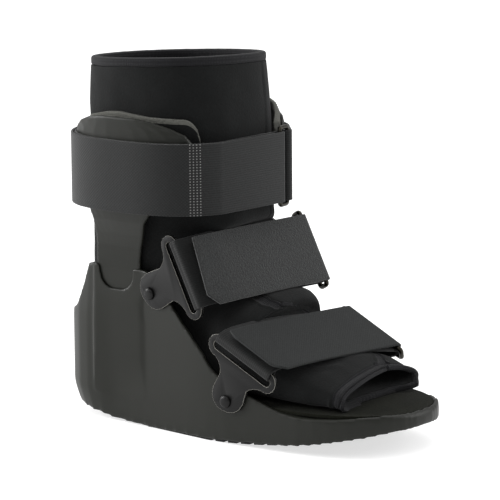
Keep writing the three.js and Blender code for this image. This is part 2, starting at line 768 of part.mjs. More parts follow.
const brackets = [
  { name: 'instep_bracket_outer', frame: instepFrame, far: false },
  { name: 'instep_bracket_inner', frame: instepFarFrame, far: true },
  { name: 'forefoot_bracket_outer', frame: forefootFrame, far: false },
  { name: 'forefoot_bracket_inner', frame: forefootFarFrame, far: true },
];

// Where the loop of webbing on the far bracket turns, in the strap's own x and forward distance
function farBarOf(near, far, farLift) {
  const step = new THREE.Vector3().subVectors(far.slot, near.slot);
  const along = step.y * near.forward.y + step.z * near.forward.z;
  return [-far.slot.x + plateThickness / 2 + farLift, slotFront + along + 0.2];
}

function slideOf(near, far) {
  const step = new THREE.Vector3().subVectors(far.slot, near.slot);
  const along = step.y * near.across.y + step.z * near.across.z;
  return along / (-far.slot.x - near.slot.x);
}

const straps = [
  {
    name: 'instep',
    frame: instepFrame,
    lift: 0.9,
    crown: [[-61.8, 9.5], [-59.5, 14.5], [-53, 19], [-38, 22.6], [-18, 25.2], [0, 26.4], [25, 27], [48, 27]],
    ring: { front: [65, 28.5], rear: [67.5, 28.5 - ringBarGap] },
    farBar: farBarOf(instepFrame, instepFarFrame, 0.4),
    slide: slideOf(instepFrame, instepFarFrame),
    freeEnd: -56,
  },
  {
    name: 'forefoot',
    frame: forefootFrame,
    lift: 0.3,
    crown: [[-64.4, 9], [-61.5, 13.5], [-53, 16.6], [-36, 18.6], [-18, 19.5], [0, 19.8], [25, 20], [42, 20]],
    ring: { front: [63, 20.5], rear: [68.5, 21.5 - ringBarGap] },
    farBar: farBarOf(forefootFrame, forefootFarFrame, 0.2),
    slide: slideOf(forefootFrame, forefootFarFrame),
    freeEnd: -55,
  },
];

// Materials

const looks = {
  plastic: { color: 0x232422, roughness: 0.45, metalness: 0 },
  rubber: { color: 0x1d1d1c, roughness: 0.75, metalness: 0 },
  felt: { color: 0x17170f, roughness: 1, metalness: 0 },
  fabric: { color: 0x0d0d0e, roughness: 1, metalness: 0 },
  binding: { color: 0x141416, roughness: 0.9, metalness: 0 },
  foam: { color: 0x8a8a88, roughness: 0.95, metalness: 0 },
  webbing: { color: 0x1c1c1e, roughness: 0.85, metalness: 0 },
  bracket: { color: 0x2b2b2b, roughness: 0.35, metalness: 0 },
  metal: { color: 0x6e6a62, roughness: 0.3, metalness: 1 },
};

const boot = new THREE.Group();

function addPiece(name, geometry, look) {
  const mesh = new THREE.Mesh(geometry, new THREE.MeshStandardMaterial(looks[look]));
  mesh.name = name;
  boot.add(mesh);
}

addPiece('outsole', makeOutsole(), 'rubber');
addPiece('base_shell', makeBase(), 'plastic');
addPiece('insole', makeInsole(), 'felt');

const upright = makeUpright();
addPiece('upright_outer', upright, 'plastic');
addPiece('upright_inner', mirrored(upright), 'plastic');
const pad = makePad();
addPiece('upright_pad_outer', pad, 'foam');
addPiece('upright_pad_inner', mirrored(pad), 'foam');

addPiece('liner', makeLiner(), 'fabric');
addPiece('rim_binding', makeBinding(linerTable[linerTable.length - 1], alongZ), 'binding');
addPiece('toe_binding', makeBinding(linerTable[0], alongY.clone().negate()), 'binding');

for (const { name, frame, far } of brackets) {
  const plate = makeBracket(frame);
  const rivet = makeRivet(frame);
  addPiece(name, far ? mirrored(plate) : plate, 'bracket');
  addPiece(name.replace('bracket', 'rivet'), far ? mirrored(rivet) : rivet, 'bracket');
}

for (const strap of straps) {
  addPiece(`${strap.name}_strap`, makeStrap(strap), 'webbing');
  addPiece(`${strap.name}_ring`, makeRing(strap), 'metal');
  addPiece(`${strap.name}_ring_loop`, makeChafe(strap), 'webbing');
}

addPiece('calf_strap', makeCalfStrap(), 'webbing');
addPiece('calf_ring', makeCalfRing(), 'metal');

export default boot;
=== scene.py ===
"""A short walking boot: its soft goods, mouldings and finishes, laid out as an add-on and run as a script."""

import math

import bmesh
import bpy
from bpy.props import FloatProperty, FloatVectorProperty, PointerProperty
from bpy.types import Operator, Panel, PropertyGroup
from mathutils import Matrix, Vector, kdtree, noise


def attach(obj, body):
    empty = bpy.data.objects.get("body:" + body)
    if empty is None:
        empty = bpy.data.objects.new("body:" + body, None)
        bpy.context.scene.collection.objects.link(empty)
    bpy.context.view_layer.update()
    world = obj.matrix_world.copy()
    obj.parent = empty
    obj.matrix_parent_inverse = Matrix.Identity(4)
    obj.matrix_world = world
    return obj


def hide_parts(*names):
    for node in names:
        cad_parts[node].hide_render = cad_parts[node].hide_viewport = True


bl_info = {
    "name": "Walking Boot",
    "version": (1, 0, 0),
    "blender": (4, 5, 0),
    "location": "3D View > Sidebar > Boot",
    "description": "Builds the soft goods, mouldings and finishes of a short walking boot",
    "category": "Object",
}

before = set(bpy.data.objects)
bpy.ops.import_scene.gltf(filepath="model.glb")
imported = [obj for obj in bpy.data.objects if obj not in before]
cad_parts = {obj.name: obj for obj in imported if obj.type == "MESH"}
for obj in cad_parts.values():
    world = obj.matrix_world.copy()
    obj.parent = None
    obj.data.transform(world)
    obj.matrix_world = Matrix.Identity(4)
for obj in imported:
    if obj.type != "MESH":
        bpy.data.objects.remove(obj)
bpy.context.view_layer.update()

MM = 0.001
ALONG_X = Vector((1, 0, 0))
ALONG_Y = Vector((0, 1, 0))
ALONG_Z = Vector((0, 0, 1))


def linear(hex_colour):
    """The linear colour of an sRGB hex value."""
    channels = [int(hex_colour[i:i + 2], 16) / 255 for i in (1, 3, 5)]
    return [c / 12.92 if c <= 0.04045 else ((c + 0.055) / 1.055) ** 2.4 for c in channels] + [1.0]


# What a user would change


def length_property(name, description, default_mm):
    return FloatProperty(name=name, description=description, default=default_mm * MM, unit="LENGTH")


def colour_property(name, description, hex_colour):
    return FloatVectorProperty(
        name=name, description=description, default=linear(hex_colour), size=4, subtype="COLOR",
        min=0, max=1,
    )


class BootSizes(PropertyGroup):
    web_width: length_property("Webbing width", "Width of the three straps", 50.8)
    web_thickness: length_property("Webbing thickness", "Thickness of one layer of strap", 1.9)
    liner_wall: length_property("Liner wall", "Thickness of the padded liner", 6)
    flap_thickness: length_property("Flap thickness", "Thickness of the outer panel that overlaps", 2.4)
    binding_width: length_property("Binding width", "Width of the binding along a panel's edge", 6.5)
    ring_radius: length_property("Ring wire radius", "Half the thickness of the wire rings", 1.8)


class BootColours(PropertyGroup):
    nylon: colour_property("Base and uprights", "Moulded glass-filled nylon", "#191a16")
    rubber: colour_property("Tread", "Moulded rubber", "#191919")
    felt: colour_property("Insole", "Needled felt", "#12130d")
    cloth: colour_property("Liner", "Brushed loop cloth", "#0f1010")
    binding: colour_property("Binding", "Knitted edge binding", "#151517")
    foam: colour_property("Pads", "Speckled foam", "#4c4c48")
    webbing: colour_property("Straps", "Woven webbing", "#1c1d1d")
    bracket: colour_property("Brackets", "Moulded acetal", "#0a0a0a")
    steel: colour_property("Rings", "Blackened steel", "#33312c")


def sizes():
    return bpy.context.scene.boot_sizes


def colours():
    return bpy.context.scene.boot_colours


# Materials


def add_node(tree, kind, inputs=None, **settings):
    """Adds a node with its settings, values and links. A node given as a value lends its first output."""
    node = tree.nodes.new(kind)
    for name, value in settings.items():
        setattr(node, name, value)
    for name, value in (inputs or {}).items():
        if isinstance(value, bpy.types.Node):
            value = value.outputs[0]
        if isinstance(value, bpy.types.NodeSocket):
            tree.links.new(value, node.inputs[name])
        else:
            node.inputs[name].default_value = value
    return node


def start_material(name, roughness, **shader):
    material = bpy.data.materials.new(name)
    material.use_nodes = True
    tree = material.node_tree
    surface = tree.nodes["Principled BSDF"]
    surface.inputs["Roughness"].default_value = roughness
    for socket, value in shader.items():
        surface.inputs[socket.replace("_", " ")].default_value = value
    return material, tree, surface


def varied(tree, colour, pattern, dark, light):
    """A colour that a pattern from 0 to 1 turns between a darker and a lighter share of itself."""
    spread = add_node(tree, "ShaderNodeMapRange", {"Value": pattern, "To Min": dark, "To Max": light})
    tint = add_node(tree, "ShaderNodeVectorMath", {0: list(colour)[:3], "Scale": spread}, operation="SCALE")
    return tint.outputs["Vector"]


def surfaced(tree, surface, tone, height, depth_mm):
    """Gives a surface its tone, and a relief of the given depth from a pattern."""
    tree.links.new(tone, surface.inputs["Base Color"])
    bump = add_node(tree, "ShaderNodeBump", {"Height": height, "Distance": depth_mm * MM, "Strength": 1.0})
    tree.links.new(bump.outputs["Normal"], surface.inputs["Normal"])


# The fibres, hooks and mould grain are finer than the render shows, so the grains and pitches given below
# are drawn two to five times as coarse as the real ones.


def grit(tree, grain_mm, detail):
    """Noise whose grains are about as wide as the given millimetres."""
    spot = add_node(tree, "ShaderNodeTexCoord").outputs["Object"]
    scale = 0.5 / (grain_mm * MM)
    return add_node(tree, "ShaderNodeTexNoise", {"Vector": spot, "Scale": scale, "Detail": detail})


def ripple(tree, place, pitch_mm, phase=0.0):
    """A sine wave from 0 to 1 with the given pitch."""
    turn = 2 * math.pi / (pitch_mm * MM)
    turned = add_node(tree, "ShaderNodeMath", {0: place, 1: turn, 2: phase}, operation="MULTIPLY_ADD")
    wave = add_node(tree, "ShaderNodeMath", {0: turned}, operation="SINE")
    return add_node(tree, "ShaderNodeMath", {0: wave, 1: 0.5, 2: 0.5}, operation="MULTIPLY_ADD")


def mixed(tree, *layers):
    """The sum of patterns, each multiplied by its share, which may be a pattern too."""
    total = 0.0
    for pattern, share in layers:
        total = add_node(tree, "ShaderNodeMath", {0: pattern, 1: share, 2: total}, operation="MULTIPLY_ADD")
    return total


def uv_lengths(tree):
    """Places in metres along and across a piece, from its own UV map."""
    spot = add_node(tree, "ShaderNodeUVMap", uv_map="UVMap")
    split = add_node(tree, "ShaderNodeSeparateXYZ", {"Vector": spot})
    return split.outputs["X"], split.outputs["Y"]


def raised_dots(tree, along, across, pitch_mm, row_mm):
    """Rows of dots, set half a pitch over in each next row."""
    return mixed(tree, *(
        (ripple(tree, along, pitch_mm, phase), ripple(tree, across, row_mm, phase))
        for phase in (0.0, math.pi)
    ))


def moulded(name, colour, roughness, grain_mm, depth_mm):
    """A spark-eroded mould leaves a fine grain and a soft satin shine, a little uneven in tone."""
    material, tree, surface = start_material(name, roughness, Specular_IOR_Level=0.2)
    cloudy = grit(tree, 14, 3)
    shine = add_node(tree, "ShaderNodeMapRange", {
        "Value": cloudy, "To Min": roughness - 0.05, "To Max": roughness + 0.06,
    })
    tree.links.new(shine.outputs[0], surface.inputs["Roughness"])
    surfaced(tree, surface, varied(tree, colour, cloudy, 0.88, 1.1), grit(tree, grain_mm, 2), depth_mm)
    return material


def nylon_moulding():
    # Glass-filled nylon from an etched mould: dark satin grey with broad soft highlights
    return moulded("glass_filled_nylon_moulded", colours().nylon, 0.42, 0.7, 0.05)


def rubber_moulding():
    # Compression-moulded rubber: matt, slightly dusty
    return moulded("rubber_compression_moulded", colours().rubber, 0.7, 0.9, 0.12)


def acetal_moulding():
    # Acetal from a polished mould: smooth dark faces
    return moulded("acetal_moulded", colours().bracket, 0.36, 0.6, 0.015)


def acetal_painted_edge_highlight():
    # Acetal with a painted edge highlight: the bevels get a lighter, glossier colour than the faces, so that
    # the edges show as thin bright lines
    return moulded("acetal_edge_painted_highlight", linear("#8d8b84"), 0.3, 0.6, 0.01)


def needled_felt():
    # Needled polyester felt: matted fibres, no shine, olive black
    material, tree, surface = start_material(
        "polyester_felt_needled", 1.0, Sheen_Weight=0.02, Specular_IOR_Level=0.1,
    )
    fibres = grit(tree, 0.8, 4)
    matted = mixed(tree, (fibres, grit(tree, 9, 2)))
    surfaced(tree, surface, varied(tree, colours().felt, matted, 0.6, 1.9), fibres, 0.5)
    return material


def loop_cloth():
    # Brushed nylon loop cloth on foam: deep matt black with a short fuzzy nap and cloudy brushed marks
    material, tree, surface = start_material(
        "nylon_loop_cloth_brushed", 0.95, Sheen_Weight=0.035, Sheen_Roughness=0.6, Specular_IOR_Level=0.12,
    )
    nap = grit(tree, 0.7, 3)
    brushed = mixed(tree, (nap, grit(tree, 11, 4)))
    surfaced(tree, surface, varied(tree, colours().cloth, brushed, 0.55, 2.2), nap, 0.35)
    return material


def knit_binding():
    # Knitted edge tape: fine ribs in both directions
    material, tree, surface = start_material(
        "polyester_binding_knitted", 0.85, Sheen_Weight=0.05, Specular_IOR_Level=0.15,
    )
    along, across = uv_lengths(tree)
    height = mixed(tree, (ripple(tree, along, 1.3), ripple(tree, across, 1.6)), (grit(tree, 0.8, 3), 0.8))
    surfaced(tree, surface, varied(tree, colours().binding, height, 0.55, 1.25), height, 0.3)
    return material


def speckled_foam():
    # Cut closed-cell foam with light and dark flecks
    material, tree, surface = start_material("eva_foam_cut", 0.95, Specular_IOR_Level=0.2)
    spot = add_node(tree, "ShaderNodeTexCoord").outputs["Object"]
    cells = add_node(tree, "ShaderNodeTexVoronoi", {"Vector": spot, "Scale": 1 / (1.7 * MM)})
    height = mixed(tree, (cells, 1), (grit(tree, 1.1, 3), 1.3))
    surfaced(tree, surface, varied(tree, colours().foam, height, 0.35, 1.25), height, 0.35)
    return material


def woven_webbing():
    # Woven nylon hook webbing: rows of raised dots, set half a pitch over in each next row
    material, tree, surface = start_material(
        "nylon_webbing_woven", 0.8, Sheen_Weight=0.03, Specular_IOR_Level=0.12,
    )
    dots = raised_dots(tree, *uv_lengths(tree), 1.9, 1.9)
    height = mixed(tree, (dots, 0.5), (grit(tree, 0.6, 3), 0.8))
    surfaced(tree, surface, varied(tree, colours().webbing, height, 0.5, 2.15), height, 0.14)
    return material


def pile_webbing():
    # Loop pile webbing: a crowd of tiny loops that sparkle grey in the light
    material, tree, surface = start_material(
        "nylon_webbing_loop_pile", 0.9, Sheen_Weight=0.22, Sheen_Roughness=0.5, Specular_IOR_Level=0.2,
    )
    loops = grit(tree, 0.6, 2)
    crowd = add_node(tree, "ShaderNodeMapRange", {"Value": loops, "From Min": 0.3, "From Max": 0.7})
    height = mixed(tree, (crowd, 1), (grit(tree, 7, 2), 0.3))
    surfaced(tree, surface, varied(tree, colours().webbing, height, 0.4, 1.6), height, 0.2)
    return material


def ribbed_webbing():
    # Plain woven webbing: close dark ribs along the strap and faint bands across it
    material, tree, surface = start_material(
        "nylon_webbing_ribbed", 0.7, Sheen_Weight=0.08, Specular_IOR_Level=0.2,
    )
    along, across = uv_lengths(tree)
    ribs = mixed(tree, (ripple(tree, across, 1.6), 1), (ripple(tree, along, 6.5), 0.35))
    height = mixed(tree, (ribs, 0.6), (grit(tree, 0.8, 3), 0.6))
    surfaced(tree, surface, varied(tree, colours().webbing, height, 0.25, 0.55), height, 0.15)
    return material


def calf_webbing():
    # One strap in two weaves: plain ribs, then a dotted hook face. The first four columns of the hook face
    # hold painted glints: light grey dots for the light caught where the strap bends over the upright
    material, tree, surface = start_material(
        "nylon_webbing_hook_and_rib", 0.72, Sheen_Weight=0.12, Specular_IOR_Level=0.2,
    )
    along, across = uv_lengths(tree)
    weave_start = calf_run()[1] * MM
    pitch = 2.4
    glints_end = weave_start + 4 * pitch * MM
    fibres = grit(tree, 0.9, 3)
    ribs = mixed(tree, (ripple(tree, across, 1.6), 0.35), (fibres, 0.5))
    hooks = mixed(tree, (raised_dots(tree, along, across, pitch, 2.2), 0.5), (fibres, 0.35))
    woven = add_node(tree, "ShaderNodeMath", {0: along, 1: weave_start}, operation="GREATER_THAN")
    before_end = add_node(tree, "ShaderNodeMath", {0: along, 1: glints_end}, operation="LESS_THAN")
    # Painted glints: the mask columns marks bright dots in the first four columns of the hook face, for the
    # light caught where the strap bends
    phase = -2 * math.pi * weave_start / (pitch * MM) - 0.5 * math.pi
    glint_wave = mixed(tree, (ripple(tree, along, pitch, phase), ripple(tree, across, 2.0)))
    glint_peaks = add_node(tree, "ShaderNodeMapRange", {"Value": glint_wave, "From Min": 0.45, "From Max": 0.9})
    columns = mixed(tree, (mixed(tree, (woven, before_end)), glint_peaks))
    face = add_node(tree, "ShaderNodeMix", {0: woven, 2: ribs, 3: hooks}, data_type="FLOAT")
    plain = varied(tree, colours().webbing, face, 0.15, 1.4)
    # The painted glints mix light grey into the colour
    glinted = add_node(tree, "ShaderNodeMix", {0: columns, 6: plain, 7: linear("#747472")}, data_type="RGBA")
    surfaced(tree, surface, glinted.outputs[2], mixed(tree, (face, 1), (columns, 1)), 0.2)
    return material


def blackened_steel():
    # Drawn steel wire, blackened and lacquered: glossy, with brassy rubbed highlights
    material, tree, surface = start_material("steel_wire_blackened", 0.28, Metallic=1.0)
    tone = varied(tree, colours().steel, grit(tree, 5, 3), 0.5, 1.4)
    tree.links.new(tone, surface.inputs["Base Color"])
    return material


def material_of(make):
    """The material that a function makes, made once."""
    name = "maker_" + make.__name__
    known = bpy.context.scene.get(name)
    if known:
        return bpy.data.materials[known]
    material = make()
    bpy.context.scene[name] = material.name
    return material


# Meshes


def new_piece(name, mesh, materials, replaced=()):
    piece = bpy.data.objects.new(name, mesh)
    bpy.context.scene.collection.objects.link(piece)
    for make in materials:
        mesh.materials.append(material_of(make))
    mesh.shade_smooth()
    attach(piece, "root")
    if replaced:
        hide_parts(*replaced)
    return piece


def to_mesh(bm, name):
    mesh = bpy.data.meshes.new(name)
    bm.to_mesh(mesh)
    bm.free()
    return mesh


def merged_copy(node):
    """A bmesh of a frame node's own shape, with its loose triangles joined up."""
    bm = bmesh.new()
    bm.from_mesh(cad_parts[node].data)
    bmesh.ops.remove_doubles(bm, verts=bm.verts[:], dist=2e-6)
    return bm


def finished(piece, *modifiers):
    """Adds modifiers given as (kind, settings), applies them all and keeps the result as the mesh."""
    for kind, settings in modifiers:
        modifier = piece.modifiers.new(kind.lower(), kind)
        for name, value in settings.items():
            setattr(modifier, name, value)
    graph = bpy.context.evaluated_depsgraph_get()
    mesh = bpy.data.meshes.new_from_object(piece.evaluated_get(graph))
    piece.modifiers.clear()
    old = piece.data
    name = old.name
    piece.data = mesh
    bpy.data.meshes.remove(old)
    mesh.name = name
    return piece


def edge_bevel(width_mm, segments, degrees, **more):
    """A bevel along a piece's sharp edges, as finished() takes it."""
    return ("BEVEL", {
        "width": width_mm * MM, "segments": segments, "limit_method": "ANGLE",
        "angle_limit": math.radians(degrees), **more,
    })


def sharpened(piece, degrees):
    piece.data.shade_smooth()
    piece.data.set_sharp_from_angle(angle=math.radians(degrees))
    return piece


def through(points, count):
    """A smooth curve through points of any length, sampled evenly between each pair."""
    ends = [points[0], *points, points[-1]]
    curve = []
    for i in range(1, len(ends) - 2):
        p0, p1, p2, p3 = ends[i - 1:i + 3]
        for step in range(count):
            t = step / count
            curve.append(tuple(
                0.5 * (
                    2 * b + (c - a) * t + (2 * a - 5 * b + 4 * c - d) * t * t
                    + (3 * b - a - 3 * c + d) * t ** 3
                )
                for a, b, c, d in zip(p0, p1, p2, p3)
            ))
    curve.append(tuple(points[-1]))
    return curve


def woven_grid(columns, rows):
    """A bmesh grid with a UV map, and each vertex's column and row."""
    bm = bmesh.new()
    bm.loops.layers.uv.new("UVMap")
    bmesh.ops.create_grid(bm, x_segments=columns, y_segments=rows, size=0.5, calc_uvs=True)
    place = {v: (round((v.co.x + 0.5) * columns), round((v.co.y + 0.5) * rows)) for v in bm.verts}
    return bm, place


def lay_grid(bm, place, spots, flat):
    """Moves each grid vertex to its spot, and each UV to its flat place in metres."""
    layer = bm.loops.layers.uv["UVMap"]
    for face in bm.faces:
        for loop in face.loops:
            loop[layer].uv = flat(*place[loop.vert])
    for vert, (column, row) in place.items():
        vert.co = spots(column, row)


def run_lengths(points):
    total = [0.0]
    for a, b in zip(points, points[1:]):
        total.append(total[-1] + (Vector(b) - Vector(a)).length)
    return total


def arc(centre, radius, start, end, steps=12):
    """Points on a turn, with angles in degrees."""
    angles = [math.radians(start + (end - start) * i / steps) for i in range(steps + 1)]
    return [(centre[0] + radius * math.cos(a), centre[1] + radius * math.sin(a)) for a in angles]


# The stage


# The camera's place in metres, its focal length, and the right and upward directions of its view
CAMERA_PLACE = (-2.04282, -1.52019, 0.60334)
CAMERA_LENS = 262.08
VIEW_RIGHT = Vector((0.59682, -0.80234, -0.00806))
VIEW_UP = Vector((0.15206, 0.10323, 0.98297))


class BOOT_OT_stage(Operator):
    """Set up the floor, the lights and the camera"""

    bl_idname = "boot.stage"
    bl_label = "Stage"

    def execute(self, context):
        bm = bmesh.new()
        bmesh.ops.create_grid(bm, x_segments=1, y_segments=1, size=6)
        floor = bpy.data.objects.new("floor", to_mesh(bm, "floor"))
        context.scene.collection.objects.link(floor)
        # A light table: white acrylic lit from below, which leaves only a faint shadow
        material, _, surface = start_material("acrylic_light_table", 0.9, Specular_IOR_Level=0.1)
        surface.inputs["Base Color"].default_value = linear("#bcbcbc")
        surface.inputs["Emission Color"].default_value = linear("#ffffff")
        surface.inputs["Emission Strength"].default_value = 0.66
        floor.data.materials.append(material)

        world = bpy.data.worlds.new("studio")
        context.scene.world = world
        world.use_nodes = True
        sky = world.node_tree.nodes["Background"]
        sky.inputs["Color"].default_value = (1, 1, 1, 1)
        sky.inputs["Strength"].default_value = 0.62

        back = VIEW_RIGHT.cross(VIEW_UP)
        # Each lamp: metres to the right of the camera's view, towards the camera and above the floor
        lamps = [
            ("left_edge", (-1.7, -0.25, 0.75), 1.0, 34),
            ("right_edge", (1.7, -0.1, 0.9), 1.3, 16),
            ("key", (-0.5, 1.7, 1.8), 1.5, 9),
            ("ceiling", (0.0, -1.0, 4.2), 7.5, 150),
        ]
        for name, (across, near, height), size, power in lamps:
            light = bpy.data.lights.new(name, "AREA")
            light.shape = "DISK"
            light.size = size
            light.energy = power
            lamp = bpy.data.objects.new(name, light)
            place = VIEW_RIGHT * across + back * near
            place.z = height
            aim = Vector((0, 0, 0.12)) - place
            lamp.matrix_world = Matrix.Translation(place) @ aim.to_track_quat("-Z", "Y").to_matrix().to_4x4()
            context.scene.collection.objects.link(lamp)

        camera = bpy.data.objects.new("camera", bpy.data.cameras.new("camera"))
        camera.data.lens = CAMERA_LENS
        camera.data.clip_end = 50
        turned = Matrix((VIEW_RIGHT, VIEW_UP, back)).transposed().to_4x4()
        camera.matrix_world = Matrix.Translation(CAMERA_PLACE) @ turned
        context.scene.collection.objects.link(camera)
        context.scene.camera = camera
        context.scene.view_settings.view_transform = "Standard"
        return {"FINISHED"}


# The base and its tread


def moulded_copy(name, node, voxel_mm, rounds, make, filled=None):
    """A node's shape with its edges rounded, as a moulding's are."""
    bm = merged_copy(node)
    if filled:
        filled(bm)
    piece = new_piece(name, to_mesh(bm, name), [make], [node])
    return finished(
        piece,
        ("REMESH", {"mode": "VOXEL", "voxel_size": voxel_mm * MM, "use_smooth_shade": True}),
        ("SMOOTH", {"factor": 0.5, "iterations": rounds}),
    )


def bevelled_copy(name, node, width_mm, make, highlight_material=None):
    """A node's shape with its sharp edges bevelled, and the bevels given a painted highlight if a material
    for that is given.
    """
    bm = merged_copy(node)
    bmesh.ops.dissolve_limit(bm, angle_limit=math.radians(2), verts=bm.verts[:], edges=bm.edges[:])
    piece = new_piece(name, to_mesh(bm, name), [make, highlight_material] if highlight_material else [make], [node])
    # The bevels take the second material, a painted edge highlight, when one is given
    finished(piece, edge_bevel(width_mm, 2, 45, **({"material": 1} if highlight_material else {})))
    return sharpened(piece, 35)


# The base's main sizes in millimetres: the sole, the uprights' pockets and the tread
HALF_LENGTH = 146.5
FORE_WIDTH = 119
HEEL_WIDTH = 96
POCKET_Y = 85.5
POCKET_HALF = 22.5
POCKET_FOOT = 22
POCKET_OUTER = 51.4
TREAD_THICKNESS = 5


def clamp(value, low=0.0, high=1.0):
    return min(max(value, low), high)


def sole_half_width(y):
    """Half the sole's width at a distance along the boot, in millimetres."""
    share = smoothed(y, -0.157 * HALF_LENGTH, 0.662 * HALF_LENGTH)
    body = (FORE_WIDTH + (HEEL_WIDTH - FORE_WIDTH) * share) / 2
    toe = clamp((y + HALF_LENGTH) / 80)
    heel = clamp((HALF_LENGTH - y) / 48)
    return body * (1 - (1 - toe) ** 2.2) ** (1 / 2.2) * (1 - (1 - heel) ** 2.4) ** (1 / 2.4)


def tread_height(y):
    """How far the rocker lifts the tread off the floor, in millimetres."""
    if y < 6:
        return 20.8 * ((6 - y) / (6 + HALF_LENGTH)) ** 1.85
    if y > 46:
        return 11.9 * ((y - 46) / (HALF_LENGTH - 46)) ** 1.9
    return 0


def outline_tree():
    """The sole's outline, ready for finding how near a point is to it."""
    spots = []
    for i in range(401):
        y = -HALF_LENGTH * math.cos(math.pi * i / 400)
        spots += [(sole_half_width(y), y), (-sole_half_width(y), y)]
    tree = kdtree.KDTree(len(spots))
    for i, (x, y) in enumerate(spots):
        tree.insert((x, y, 0), i)
    tree.balance()
    return tree


def heel_shape(point):
    """Rounds the heel in at the bottom and lets its wall stand out a little above."""
    share = clamp((point.y - 0.45 * HALF_LENGTH) / (0.55 * HALF_LENGTH))
    out = 2.8 * smoothed(point.y, 88, 128) * smoothed(point.z, 6, 24) * (1 - smoothed(point.z, 70, 108))
    tuck = 0.6 * share * (1 - smoothed(point.z, 4, 22))
    away = Vector((point.x, point.y - 98, 0))
    if away.length > 1:
        point += away.normalized() * (out - tuck)


def shape_base(piece):
    """Fairs the wall over the bracket seats and pockets, and draws the wall down over the tread's side."""
    outline = outline_tree()
    for vert in piece.data.vertices:
        point = vert.co / MM
        side = math.copysign(1, point.x)
        wall = sole_half_width(clamp(point.y, -HALF_LENGTH, HALF_LENGTH))
        out = abs(point.x)
        in_pocket = abs(point.y - POCKET_Y) < POCKET_HALF + 0.8
        if in_pocket and out > wall - 1.4 and out > 46:
            stand = POCKET_OUTER - wall
            low = smoothed(point.z, POCKET_FOOT + 2, POCKET_FOOT + 34)
            high = 1.5 * smoothed(point.z, 84, 108)
            point.x = side * min(out, wall + stand * low - high * low + 0.2)
        elif point.z > 24 and -45 < point.y < POCKET_Y - POCKET_HALF and wall - 1.9 < out < wall:
            point.x = side * wall
        lift = point.z - tread_height(point.y) - TREAD_THICKNESS
        if lift < 9:
            _, _, gap = outline.find((point.x, point.y, 0))
            reach = 1 - smoothed(gap, 1.6, 3.4)
            skirt = TREAD_THICKNESS - 0.5 + 1.8 * smoothed(abs(point.y), 25, 85)
            point.z = max(point.z - skirt * reach * (1 - smoothed(lift, 0, 9)), min(point.z, 0.2))
        heel_shape(point)
        vert.co = point * MM


def shape_tread(piece):
    """Draws the tread in under the wall, most at the heel."""
    for vert in piece.data.vertices:
        point = vert.co / MM
        share = clamp((point.y - 0.45 * HALF_LENGTH) / (0.55 * HALF_LENGTH))
        away = Vector((point.x, point.y - 60, 0))
        point -= away.normalized() * (1.0 + 4.6 * share) * smoothed(away.length, 20, 45)
        vert.co = point * MM


def pocket_corners(bm):
    """Closes the front corner of each pocket, so that the wall runs on to the bracket."""
    for side in (-1, 1):
        block = bmesh.ops.create_cube(bm, size=1)["verts"]
        size = Matrix.Diagonal((2.6 * MM, 8.4 * MM, 46 * MM, 1))
        place = Matrix.Translation((side * 49.9 * MM, 67.4 * MM, 91.6 * MM))
        bmesh.ops.transform(bm, matrix=place @ size, verts=block)


class BOOT_OT_base(Operator):
    """Build the moulded base, its tread and the felt insole"""

    bl_idname = "boot.base"
    bl_label = "Base"

    def execute(self, context):
        base = moulded_copy(
            "base_moulding", "base_shell", 1.4, 5, nylon_moulding, pocket_corners,
        )
        shape_base(base)
        finished(base, ("SMOOTH", {"factor": 0.5, "iterations": 4}))
        tread = bevelled_copy("tread", "outsole", 0.5, rubber_moulding)
        shape_tread(tread)
        bevelled_copy("felt_insole", "insole", 0.5, needled_felt)
        return {"FINISHED"}


# The outer pad's top edge: distance along the boot and height, in millimetres
PAD_TOP = [
    (-40, 206), (8, 209), (10, 217), (13.5, 223.5), (22, 225.5), (48, 226.5), (72, 229), (84, 228),
    (101, 224), (112, 215), (160, 205),
]

# The pad's foot height, thickness, distance from the liner's skin and depth of its bare cut rim
PAD_FOOT = 177
PAD_THICKNESS = 3.6
PAD_STAND = 3.9
PAD_RIM = 3.4


def between(table, value):
    for (x0, y0), (x1, y1) in zip(table, table[1:]):
        if value <= x1:
            return y0 + (y1 - y0) * clamp((value - x0) / (x1 - x0))
    return table[-1][1]


def place_at(height, degrees):
    """The place along the liner's leg where its skin is at a height."""
    low, high = 14.0, 20.0
    for _ in range(18):
        middle = (low + high) / 2
        if liner_spot(middle, degrees, 0).z < height:
            low = middle
        else:
            high = middle
    return low


def make_outer_pad():
    """A thin foam pad that lies on the liner behind the paddle, with cloth on its face below the cut rim."""
    angles = column_angles(132.5, 226, 60)
    rows = 30
    bm, place = woven_grid(len(angles) - 1, rows)
    spots = {}
    for i, degrees in enumerate(angles):
        along = liner_spot(place_at(228, degrees), degrees, 0).y
        corner = clamp(1 - i / 7)
        top = between(PAD_TOP, along) - 12 * (1 - math.sqrt(1 - corner ** 2))
        for j in range(rows + 1):
            height = PAD_FOOT + (top - PAD_FOOT) * j / rows
            spots[i, j] = (liner_spot(place_at(height, degrees), degrees, -PAD_STAND), top - height)
    lay_grid(bm, place, lambda i, j: spots[i, j][0] * MM, lambda i, j: (i * 1.8 * MM, j * 1.7 * MM))
    for face in bm.faces:
        depth = sum(spots[place[v]][1] for v in face.verts) / 4
        face.material_index = 0 if depth < PAD_RIM else 1
    bmesh.ops.recalc_face_normals(bm, faces=bm.faces[:])
    pad = new_piece(
        "foam_pad_outer", to_mesh(bm, "foam_pad_outer"), [speckled_foam, loop_cloth],
        ["upright_pad_outer"],
    )
    finished(pad, ("SOLIDIFY", {"thickness": PAD_THICKNESS * MM, "offset": -1}), edge_bevel(0.9, 2, 50))


